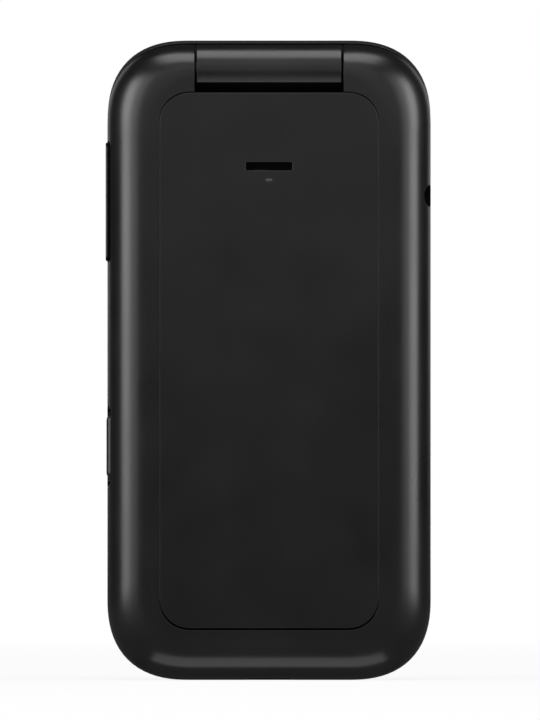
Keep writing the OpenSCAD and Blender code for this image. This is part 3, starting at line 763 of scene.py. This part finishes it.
def painted_shade_under_barrel(centre, normal):
    """The slimmer skin under the barrel and its flat ends, which get painted shade."""
    off, up = centre.y - hinge_y, centre.z - hinge_z
    low = up < 0 and off ** 2 + up ** 2 < (INNER_R + 0.1) ** 2
    return low or abs(normal.x) > 0.99


# Painted shade: the slimmer inner skin and the barrel's flat ends are painted near-black for the shadow
# in the slot and the gaps beside it.
paint(barrel, painted_shade_black, painted_shade_under_barrel)
place(barrel, "lid", shell_black, "black_housing", "hinge_barrel")

# %% [markdown]
# ## The lid
#
# The lid is the same outline swept the other way: a shallow shell with an even 5 mm edge. The
# window for the small outer display is let into its face, with the camera and the flash above.


# %% Lid outer shell
LID_START, LID_EDGE = -4.5, 5.0


def lid_reach(y):
    """Draw of the lid's edge at a depth y, the same all round."""
    return (drawn_in((LID_START - y) / LID_EDGE, LID_EDGE),) * 3


lid_levels = [LID_SPLIT, LID_START] + [LID_START - LID_EDGE * s for s in QUARTER]
lid = outline("lid_shell", LID_HEIGHT, LID_SPLIT)
sweep(lid, LID_HEIGHT, lid_levels, lid_reach)
cut(lid, inner_slab("deep", LID_HEIGHT, WALL, -6.5, 5))
cut(lid, slab("shallow", 47, 100.6, 9, -8.2, -6, z=LID_HEIGHT / 2, power=CORNER_POWER))
for x, z in LID_SCREWS:
    fuse(lid, rod("post", 1.8, (x, -8.3, z), (x, LID_SPLIT, z), 32))
    cut(lid, rod("pilot", 0.8, (x, -6.5, z), (x, 0, z), 24))
OUTER_Z, CAMERA_X, CAMERA_Z = 71.0, -6.5, 93.0
cut(lid, slab("recess", 36.2, 58.2, 6.1, -20, -8.6, z=OUTER_Z))
cut(lid, slab("view", 30, 37, 1, -20, -7.5, z=OUTER_VIEW_Z))
cut(lid, rod("camera", 3.4, (CAMERA_X, -20, CAMERA_Z), (CAMERA_X, -7.5, CAMERA_Z)))
cut(lid, rod("flash", 1.6, (-CAMERA_X, -20, CAMERA_Z), (-CAMERA_X, -7.5, CAMERA_Z)))
soften(lid, 0.1)
polish(lid)
place(lid, "lid", shell_black, "black_housing", "lid_outer_housing")

# %% [markdown]
# The windows are slabs with their outer edge rounded, and the camera gets a stepped ring and a
# small lens.

# %% Outer window and camera
pane = slab("outer_pane", 36, 58, 6, FRONT_Y, -8.65, z=OUTER_Z, steps=16)
cut(pane, rod("camera", 2.6, (CAMERA_X, -20, CAMERA_Z), (CAMERA_X, 0, CAMERA_Z)))
cut(pane, rod("flash", 1.6, (-CAMERA_X, -20, CAMERA_Z), (-CAMERA_X, 0, CAMERA_Z)))
soften(pane, 0.12, segments=3)
polish(pane)
place(pane, "lid", outer_glass, "black_window", "outer_window")
lens = rod("camera_lens", 2.55, (CAMERA_X, -9.4, CAMERA_Z), (CAMERA_X, -8.8, CAMERA_Z))
edit(lens, "FACE", lambda f: f.normal.y < -0.9)
bpy.ops.mesh.inset(thickness=0.7 * MM)
push(0.25)
bpy.ops.mesh.inset(thickness=0.5 * MM)
bpy.ops.mesh.inset(thickness=0.6 * MM)
bpy.ops.transform.translate(value=(0, -0.12 * MM, 0))
leave()
soften(lens, 0.05)
polish(lens)
place(lens, "lid", lens_glass, "lens_glass", "camera_glass")
flash = rod("flash_light", 1.55, (-CAMERA_X, -9.45, CAMERA_Z), (-CAMERA_X, -8.0, CAMERA_Z))
edit(flash, "FACE", lambda f: f.normal.y < -0.9)
bpy.ops.mesh.inset(thickness=0.3 * MM)
push(0.1)
leave()
soften(flash, 0.05)
polish(flash)
place(flash, "lid", flash_clear, "flash_plastic", "flash_lens")

# %% [markdown]
# The inner frame closes the lid round the main display. It has the earpiece slot, the way
# through for the neck and four round seats for the rubber bumpers.

# %% Lid inner frame and window
frame_plate = outline("inner_frame", LID_HEIGHT, LID_SPLIT)
sweep(frame_plate, LID_HEIGHT, [LID_SPLIT, -1.5, -0.6], lambda y: (0.0,) * 3 if y < -1 else (0.4,) * 3)
edit(frame_plate, "FACE", lambda f: f.normal.y > 0.9)
bpy.ops.mesh.inset(thickness=0.6 * MM)
leave()
# Painted shade: a thin strip of the frame's back face next to the hinge is painted near-black for the
# shadow in the narrow gap to the base.
paint(frame_plate, painted_shade_black, lambda c, n: n.y > 0.9 and c.z > 100)
cut(frame_plate, block("neck_way", -12.25, 12.25, -5, 5, 101.35, 108.05))
cut(frame_plate, slab("pane_seat", 47.2, 68.2, 4.1, -1.4, 5, z=INNER_Z))
cut(frame_plate, slab("display", 44.6, 60, 1, -5, 5, z=INNER_Z))
cut(frame_plate, slab("ear", 9, 1.5, 0.7, -5, 5, z=8.4, steps=6))
for x, z in LID_SCREWS:
    cut(frame_plate, rod("hole", 0.9, (x, -5, z), (x, 5, z), 24))
    cut(frame_plate, rod("bumper", 2.1, (x, -1.05, z), (x, 5, z), 40))
    cut(frame_plate, rod("head", 1.45, (x, -1.43, z), (x, 5, z), 32))
soften(frame_plate, 0.1)
polish(frame_plate)
place(frame_plate, "lid", fascia_black, "black_fascia", "lid_inner_housing")
inner_pane = slab("inner_pane", 47, 68, 4, -1.35, -0.6, z=INNER_Z, steps=16)
soften(inner_pane, 0.12, segments=3)
polish(inner_pane)
place(inner_pane, "lid", inner_glass, "black_window", "inner_window")
for number, (x, z) in enumerate(LID_SCREWS):
    bumper = rod(f"bumper_{number + 1}", 2.05, (x, -1.05, z), (x, -0.06, z), 48)
    soften(bumper, 0.25, segments=4)
    polish(bumper)
    place(bumper, "lid", rubber_black, "black_rubber", "lid_bumpers")

# %% [markdown]
# ## The keypad
#
# The fascia is a plate with an opening for every key. A number key is modelled once: a cap
# with rounded shoulders in front, a wider flange behind the fascia and a stem over its metal
# dome. Copies then move to their places, and each gets its legend.

# %% Keypad layout
KEY_W, KEY_H, KEY_R = 14.4, 10.8, 2.2
PITCH_X, PITCH_Z, FIRST_ROW = 15.6, 12.2, 18.2
SIDE_W, SIDE_H, SIDE_X, SIDE_DZ = 11.4, 9.0, 18.1, 5.6
NAV_Z, NAV_W, NAV_R, NAV_HOLE = 73.0, 22.4, 6.5, 5.3
GAP = 0.15
NUMBERS = {}
LABELS = ["*", "0", "#", "7", "8", "9", "4", "5", "6", "1", "2", "3"]
for index, label in enumerate(LABELS):
    NUMBERS[label] = ((index % 3 - 1) * PITCH_X, FIRST_ROW + index // 3 * PITCH_Z)
SIDES = {
    "soft_key_left": (-SIDE_X, NAV_Z + SIDE_DZ), "soft_key_right": (SIDE_X, NAV_Z + SIDE_DZ),
    "call_key": (-SIDE_X, NAV_Z - SIDE_DZ), "end_key": (SIDE_X, NAV_Z - SIDE_DZ),
}
print(len(NUMBERS) + len(SIDES), "keys laid out")

# %% [markdown]
# The fascia is the same outline as the shells, 1.1 mm thick, with an opening a little wider
# than each key and four bosses for the screws.


# %% Keypad fascia
def key_hole(width, height, corner, x, z, steps=8):
    """Cut an opening in the fascia, a gap wider than its key all round."""
    cut(fascia, slab("key", width + 2 * GAP, height + 2 * GAP, corner + GAP, -5, 5, x, z, steps=steps))


fascia = inner_slab("fascia", BASE_HEIGHT, 0, 0, 1.1, steps=20)
cut(fascia, block("top", -FAR, FAR, -5, 5, SLOT_FLOOR - 0.1, 120))
for x, z in NUMBERS.values():
    key_hole(KEY_W, KEY_H, KEY_R, x, z)
for x, z in SIDES.values():
    key_hole(SIDE_W, SIDE_H, KEY_R, x, z)
key_hole(NAV_W, NAV_W, NAV_R, 0, NAV_Z, steps=12)
cut(fascia, rod("microphone", 0.5, (8, -5, 5), (8, 5, 5), 24))
for x, z in SCREWS:
    fuse(fascia, rod("boss", 1.6, (x, 1.0, z), (x, 3.35, z), 32))
    cut(fascia, rod("pilot", 0.8, (x, 0.6, z), (x, 9, z), 24))
soften(fascia, 0.1)
polish(fascia)
place(fascia, "base", fascia_black, "black_fascia", "keypad_fascia")


# %% [markdown]
# The number keys and the four keys above them differ in size only, so one function makes the
# blank. Its legend is raised lettering, joined to the cap as a second material.


# %% Key blank
def key_blank(name, width, height):
    """A key about the origin of X and Z: cap, flange and stem."""
    made = slab(name, width, height, KEY_R, -0.33, 1.25, steps=8)
    edit(made, "EDGE", lambda e: all(made.data.vertices[v].co.y < -0.0003 for v in e.vertices))
    bpy.ops.mesh.bevel(offset=0.4 * MM, segments=5, profile=0.5)
    leave()
    fuse(made, slab("flange", width + 0.8, height + 0.8, KEY_R, 1.15, 1.6, steps=8))
    fuse(made, rod("stem", 1.2, (0, 1.5, 0), (0, 1.78, 0), 24))
    polish(made)
    return made


def copy_to(item, name, x, z):
    """A copy of item with its own mesh, moved by x and z."""
    made = item.copy()
    made.data = item.data.copy()
    made.name = made.data.name = name
    bpy.context.collection.objects.link(made)
    only(made)
    made.location = (x * MM, 0, z * MM)
    bpy.ops.object.transform_apply(location=True, rotation=True, scale=True)
    return made


def legend(text, size, x, z, y=-0.35):
    """Raised lettering 0.03 mm thick, standing in X and Z and centred on a point."""
    bpy.ops.object.select_all(action="DESELECT")
    bpy.ops.object.text_add(location=(x * MM, (y + 0.015) * MM, z * MM), rotation=(pi / 2, 0, 0))
    made = bpy.context.object
    made.data.body = text
    made.data.size = size * MM
    made.data.extrude = 0.015 * MM
    made.data.align_x = "CENTER"
    made.data.align_y = "CENTER"
    bpy.ops.object.convert(target="MESH")
    return settle("legend")


def ink(item, *marks):
    """Join legends to a key as a second material."""
    for mark_mesh, material in marks:
        mark_mesh.data.materials.clear()
        mark_mesh.data.materials.append(material)
    only(*[m for m, _ in marks], item)
    bpy.ops.object.join()
    return item


print("key blank ready")

# %% [markdown]
# The blank is copied to the twelve places. A digit with letters sits left of the middle.

# %% Number keys
LETTERS = {"2": "abc", "3": "def", "4": "ghi", "5": "jkl", "6": "mno", "7": "pqrs", "8": "tuv",
           "9": "wxyz"}
NODE_OF = {"*": "key_star", "#": "key_hash"}
blank = key_blank("key_blank", KEY_W, KEY_H)
for label, (x, z) in NUMBERS.items():
    node = NODE_OF.get(label, "key_" + label)
    key = copy_to(blank, node.replace("key_", "number_"), x, z)
    place(key, node, key_black, "key_plastic", node)
    letters = LETTERS.get(label, "")
    marks = [(legend(label, 6.0, x - (2.6 if letters else 0), z), ink_white)]
    if letters:
        marks.append((legend(letters, 3.0, x + 2.8, z - 0.4), ink_white))
    ink(key, *marks)
bpy.data.objects.remove(blank, do_unlink=True)

# %% [markdown]
# The soft keys carry a short bar, and the call and end keys a handset drawn as an arc with two
# ends. The arc is a ring with all but its upper part cut away.


# %% Soft, call and end keys
def handset(x, z, flip):
    """A small telephone handset mark."""
    front, back, low = -0.35, -0.32, z - 1.2
    arc = rod("arc", 2.3, (x, front, low), (x, back, low), 40)
    cut(arc, rod("inner", 1.4, (x, -1, low), (x, 1, low), 40))
    cut(arc, block("below", x - 4, x + 4, -1, 1, z - 5, z - 0.9))
    for middle in (x - 1.85, x + 1.85):
        fuse(arc, block("end", middle - 0.65, middle + 0.65, front, back, z - 1.5, z - 0.6))
    if flip:
        only(arc)
        bpy.ops.transform.rotate(value=pi, orient_axis="Y", center_override=(x * MM, 0, z * MM))
        bpy.ops.object.transform_apply(location=True, rotation=True, scale=True)
    return arc


blank = key_blank("side_blank", SIDE_W, SIDE_H)
for node, (x, z) in SIDES.items():
    key = copy_to(blank, node + "_cap", x, z)
    place(key, node, key_black, "key_plastic", node)
    if node.startswith("soft"):
        ink(key, (slab("bar", 3.4, 0.7, 0.3, -0.35, -0.32, x, z, steps=4), ink_white))
    elif node == "call_key":
        ink(key, (handset(x, z, False), ink_green))
    else:
        ink(key, (handset(x, z, True), ink_red))
bpy.data.objects.remove(blank, do_unlink=True)

# %% [markdown]
# The four-way key is a soft square ring, slightly dished, round a round select key. It tips on
# a silicone carrier, which stays as the measured solid.

# %% Four-way and select keys
ring = slab("four_way_ring", NAV_W, NAV_W, NAV_R, -0.18, 1.15, z=NAV_Z, steps=16)
edit(ring, "EDGE", lambda e: all(ring.data.vertices[v].co.y < -0.0001 for v in e.vertices))
bpy.ops.mesh.bevel(offset=0.55 * MM, segments=6, profile=0.5)
leave()
cut(ring, rod("hole", NAV_HOLE, (0, -5, NAV_Z), (0, 5, NAV_Z), 96))
soften(ring, 0.12, angle=50, segments=3)
polish(ring)
place(ring, "nav_ring", ring_black, "key_plastic", "nav_ring")
marks = []
for dx, dz in ((0, 8.3), (8.3, 0), (0, -8.3), (-8.3, 0)):
    wide, tall = (1.6, 0.4) if dx == 0 else (0.4, 1.6)
    marks.append((slab("tick", wide, tall, 0.19, -0.2, -0.17, dx, NAV_Z + dz, steps=4), ink_white))
ink(ring, *marks)
select = rod("select_cap", NAV_HOLE - 0.35, (0, -0.35, NAV_Z), (0, 1.6, NAV_Z), 96)
edit(select, "FACE", lambda f: f.normal.y < -0.9)
bpy.ops.mesh.inset(thickness=0.5 * MM)
push(0.12)
bpy.ops.mesh.inset(thickness=1.6 * MM)
bpy.ops.transform.translate(value=(0, 0.06 * MM, 0))
leave()
fuse(select, rod("stem", 1.2, (0, 1.5, NAV_Z), (0, 1.78, NAV_Z), 24))
soften(select, 0.12, segments=3)
polish(select)
place(select, "select_key", key_black, "key_plastic", "select_key")

# %% [markdown]
# ## Side keys
#
# Each side key is a long pill that stands a fraction out of the wall, on a flange that keeps it
# in. Its outer edge is rounded more than a moulding's, since fingers look for it.


# %% Side keys
def side_key(name, depth, length, tip, flange_x, flange, rounding):
    """A pill-shaped key out to x = tip, on a flange."""
    z = VOLUME_Z if name == "volume_bar" else EMERGENCY_Z
    made = side_slab(name, depth, length, depth / 2 - 0.001, flange_x + 0.3, tip, KEY_Y, z)
    edit(made, "EDGE", lambda e: all(made.data.vertices[v].co.x > (tip - 0.01) * MM for v in e.vertices))
    bpy.ops.mesh.bevel(offset=rounding * MM, segments=6, profile=0.5)
    leave()
    fuse(made, side_slab("flange", 3.7, flange, 0.6, flange_x, 24.8, KEY_Y, z))
    polish(made)
    return made


volume = side_key("volume_bar", 1.9, 20.2, 27.78, 24.1, 21.4, 0.3)
fuse(volume, rod("rib", 0.4, (24.1, 2.4, VOLUME_Z), (24.1, 6.0, VOLUME_Z), 20))
# Painted shade: the key's two ends and its side wall facing the back are painted near-black for the
# shadow in its slot.
paint(volume, painted_shade_black, lambda c, n: abs(c.z - VOLUME_Z) > 9.5 or (n.y > 0.5 and c.x < 27.5))
place(volume, "volume_key", side_key_black, "black_side_key", "volume_key")
emergency = side_key("emergency_bar", 2.0, 10.8, 27.65, 24.2, 12.0, 0.9)
place(emergency, "emergency_key", side_key_black, "black_side_key", "emergency_key")

# %% [markdown]
# ## The battery
#
# A slim block wrapped in printed film, with a black moulded cap at its contact end. The film
# stands a hair proud of the cap, so a shallow step shows where it ends.

# %% Battery
pack = slab("battery_block", 34.4, 54.6, 1.2, 4.0, 8.1, z=41.9)
for x in (-4, 0, 4):
    cut(pack, block("contact", x - 1, x + 1, 0, 7, 69.05, 80))
soften(pack, 0.3, segments=4)
polish(pack)
place(pack, "battery", battery_black, "battery_label", "battery")
wrap = slab("battery_wrap", 33.4, 47.6, 0.8, 8.0, 8.13, z=39.2)
soften(wrap, 0.04)
polish(wrap)
place(wrap, "battery", label_grey, "battery_label")
for number, x in enumerate((-4, 0, 4)):
    pad = slab(f"battery_pad_{number + 1}", 1.8, 2.4, 0.2, 68.9, 69.1, steps=4)
    turned(pad, (pi / 2, 0, 0), (x, 5.6, 0))
    soften(pad, 0.03)
    polish(pad)
    place(pad, "battery", gold, "gold_contacts")

# %% [markdown]
# ## What stays as measured
#
# The boards, the hinge's works, the sockets and the screws have the right shape already. They
# only need their finishes. The board gets a pattern of tracks, and the dust mesh a weave.


# %% Board and mesh finishes
def board_finish(name):
    """Green laminate with paler tracks and tinned pads."""
    made = finish(name, (0.012, 0.075, 0.035), 0.4, grain=0.4, depth=0.004)
    tree = made.node_tree
    tracks = tree.nodes.new("ShaderNodeTexVoronoi")
    tracks.distance = "CHEBYCHEV"
    tracks.feature = "F1"
    tracks.inputs["Scale"].default_value = 420.0
    tree.links.new(object_coords(made), tracks.inputs["Vector"])
    pads = calc(tree, "LESS_THAN", tracks.outputs["Distance"], 0.16)
    return second_colour(made, pads, (0.55, 0.5, 0.36))


def mesh_finish(name):
    """Black woven mesh: two crossing waves as threads."""
    made = finish(name, (0.003, 0.003, 0.003), 0.7, grain=0.1, depth=0.002, ior=1.2)
    tree = made.node_tree
    bump = next(n for n in tree.nodes if n.type == "BUMP")
    bump.inputs["Distance"].default_value = 0.05 * MM
    threads = []
    for direction in ("X", "Z"):
        wave = tree.nodes.new("ShaderNodeTexWave")
        wave.bands_direction = direction
        wave.inputs["Scale"].default_value = 900.0
        tree.links.new(object_coords(made), wave.inputs["Vector"])
        threads.append(wave.outputs["Fac"])
    tree.links.new(calc(tree, "MAXIMUM", *threads), bump.inputs["Height"])
    return made


board_green = board_finish("board_green")
mesh_black = mesh_finish("dust_mesh_black")
WEARS = (
    (steel, "shield_can sim_holder usb_socket vibration_motor microphone side_switches"),
    (steel, "base_screws lid_screws"),
    # Painted shade: the hinge's works wear darkened steel for the shadow of the gaps they cross.
    (dark_steel_as_shade, "hinge_shaft hinge_case hinge_follower"),
    (spring_steel, "hinge_spring"),
    (gold, "antenna"),
    (board_green, "main_board lid_board"),
    (mesh_black, "speaker_mesh earpiece_mesh"),
    (inner_black, "battery_contacts loudspeaker headset_jack earpiece camera_module"),
    # Painted shade: the hinge bush crosses the gaps beside the barrel and wears the near-black shade
    # finish.
    (painted_shade_black, "hinge_bush"),
    (silicone, "nav_carrier"),
    (film_clear, "dome_sheet"),
    (flex_amber, "hinge_flex"),
    (outer_glass, "outer_display"),
    (inner_glass, "inner_display"),
)
kept = 0
for material, names in WEARS:
    for node in names.split():
        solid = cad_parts[node]
        solid.data.materials.clear()
        solid.data.materials.append(material)
        kept += 1
print("solids kept and finished:", kept)

# %% [markdown]
# ## Floor, light and camera
#
# The photograph looks straight at the back from far away, on white. A long lens does the same
# here. Black satin shows its light sources as much as its colour: two tall soft panels beyond
# the sides make the bright lines along the rounded edges, and one above lights the barrel. The
# floor and the world are white to the camera, whatever light they get, and dim in reflections,
# because the real phone stood in a dark studio and its satin shows that.


# %% White floor and world
def white_to_camera(name, share, seen_in_gloss):
    """A pale surface, white to the camera by a share near the phone and wholly 0.6 m away."""
    made = bpy.data.materials.new(name)
    made.use_nodes = True
    tree = made.node_tree
    nodes, links = tree.nodes, tree.links
    nodes.clear()
    out = nodes.new("ShaderNodeOutputMaterial")
    pale = nodes.new("ShaderNodeBsdfDiffuse")
    pale.inputs["Color"].default_value = (0.8, 0.8, 0.8, 1)
    glow = nodes.new("ShaderNodeEmission")
    ray = nodes.new("ShaderNodeLightPath").outputs
    gloss = calc(tree, "MAXIMUM", ray["Is Glossy Ray"], ray["Is Transmission Ray"])
    seen = calc(tree, "MAXIMUM", ray["Is Camera Ray"], gloss)
    links.new(ranged(tree, gloss, 1.0, seen_in_gloss), glow.inputs["Strength"])
    coords = nodes.new("ShaderNodeTexCoord")
    reach = nodes.new("ShaderNodeVectorMath")
    reach.operation = "LENGTH"
    links.new(coords.outputs["Object"], reach.inputs[0])
    whiter = ranged(tree, reach.outputs["Value"], share, 1.0, top=0.6)
    mix = nodes.new("ShaderNodeMixShader")
    links.new(calc(tree, "MULTIPLY", seen, whiter), mix.inputs["Fac"])
    links.new(pale.outputs[0], mix.inputs[1])
    links.new(glow.outputs[0], mix.inputs[2])
    links.new(mix.outputs[0], out.inputs["Surface"])
    return made


bpy.ops.object.select_all(action="DESELECT")
bpy.ops.mesh.primitive_plane_add(size=12, location=(0, 0, 0))
floor = settle("floor")
floor.data.materials.append(white_to_camera("white_table", 0.86, 0.05))

world = bpy.context.scene.world or bpy.data.worlds.new("world")
bpy.context.scene.world = world
world.use_nodes = True
sky = world.node_tree
backdrop = sky.nodes["Background"].inputs
backdrop["Color"].default_value = (1, 1, 1, 1)
sky_ray = sky.nodes.new("ShaderNodeLightPath").outputs
sky_seen = calc(sky, "MAXIMUM", sky_ray["Is Camera Ray"], sky_ray["Is Transmission Ray"])
sky.links.new(ranged(sky, sky_seen, 0.02, 1.0), backdrop["Strength"])
print("stage ready")


# %% [markdown]
# The small panels that lie on the table stand for the light that a white table throws back,
# which the dim reflection of the floor leaves out.


# %% Soft panels
def panel(name, width, height, spot, level, aim, spread=180):
    """A rectangular soft light at a spot in millimetres, aimed at a point, of a given brightness."""
    data = bpy.data.lights.new(name, "AREA")
    data.shape = "RECTANGLE"
    data.size = width * MM
    data.size_y = height * MM
    data.energy = 2 * level * data.size * data.size_y
    data.spread = radians(spread)
    lamp = bpy.data.objects.new(name, data)
    bpy.context.collection.objects.link(lamp)
    lamp.location = Vector(spot) * MM
    lamp.rotation_euler = (Vector(aim) * MM - lamp.location).to_track_quat("-Z", "Y").to_euler()
    lamp.visible_camera = False
    return lamp


def around(angle, distance, z=0.0):
    """A spot at an angle off the camera's line, on the +X side."""
    return (distance * sin(radians(angle)), distance * cos(radians(angle)), z)


for side, angle, fill in ((1, 63, 3.2), (-1, 68, 2.6)):
    x, y, z = around(angle, 950, 330)
    panel("side_panel", 400, 800, (side * x, y, z), 10.2, (0, 0, z))
    x, y, z = around(angle - 22, 950, 330)
    panel("side_fill", 330, 800, (side * x, y, z), fill, (0, 0, z))
    x, y, z = around(146, 900, 330)
    panel("rim_panel", 400, 560, (side * x, y, z), 0.9, (0, 0, z))
panel("top_panel", 600, 485, (0, 147, 750), 5.4, (0, 147, 0))
panel("top_fill", 600, 450, (0, 560, 680), 0.9, (0, 0, 90))
panel("front_fill", 500, 400, (0, 500, 285), 0.8, (0, 0, 285))
panel("table_glow", 240, 235, (0, 212, 0.5), 0.9, (0, 212, 100), spread=140)
panel("near_glow", 200, 64, (0, 62, 0.5), 1.35, (0, 62, 100), spread=110)
panel("foot_glow", 44, 4.5, (0, 10.7, 0.3), 1.7, (0, 10.7, 100))
panel("under_glow", 44, 3.6, (0, 6.5, 0.1), 0.05, (0, 6.5, 100))
panel("low_front_panel", 500, 160, (0, -900, 88), 2.5, (0, 0, 88))
panel("front_table_glow", 400, 300, (0, -200, 0.5), 1.5, (0, -200, 100), spread=150)
print("panels ready")

# %% [markdown]
# The camera looks straight along Y from 4 m. Its lens gives the photograph's scale, and its
# place puts the middle of the phone's lower end at the same point of the frame.

# %% Camera
scene = bpy.context.scene
lens_data = bpy.data.cameras.new("camera")
lens_data.sensor_width = 36
DISTANCE = 4.0
PIXELS_PER_MM = 5.875
FRAME_HEIGHT = 720 / PIXELS_PER_MM * MM
lens_data.lens = lens_data.sensor_width * DISTANCE / FRAME_HEIGHT
camera = bpy.data.objects.new("camera", lens_data)
bpy.context.collection.objects.link(camera)
FOOT_PX = (269.05, 679.65)
centre_x = (FOOT_PX[0] - 540 / 2) / PIXELS_PER_MM
centre_z = (FOOT_PX[1] - 720 / 2) / PIXELS_PER_MM
camera.location = (centre_x * MM, DISTANCE, centre_z * MM)
camera.rotation_euler = (pi / 2, 0, pi)
lens_data.clip_end = 50
scene.camera = camera
scene.view_settings.view_transform = "Standard"
print("lens", round(lens_data.lens), "mm")
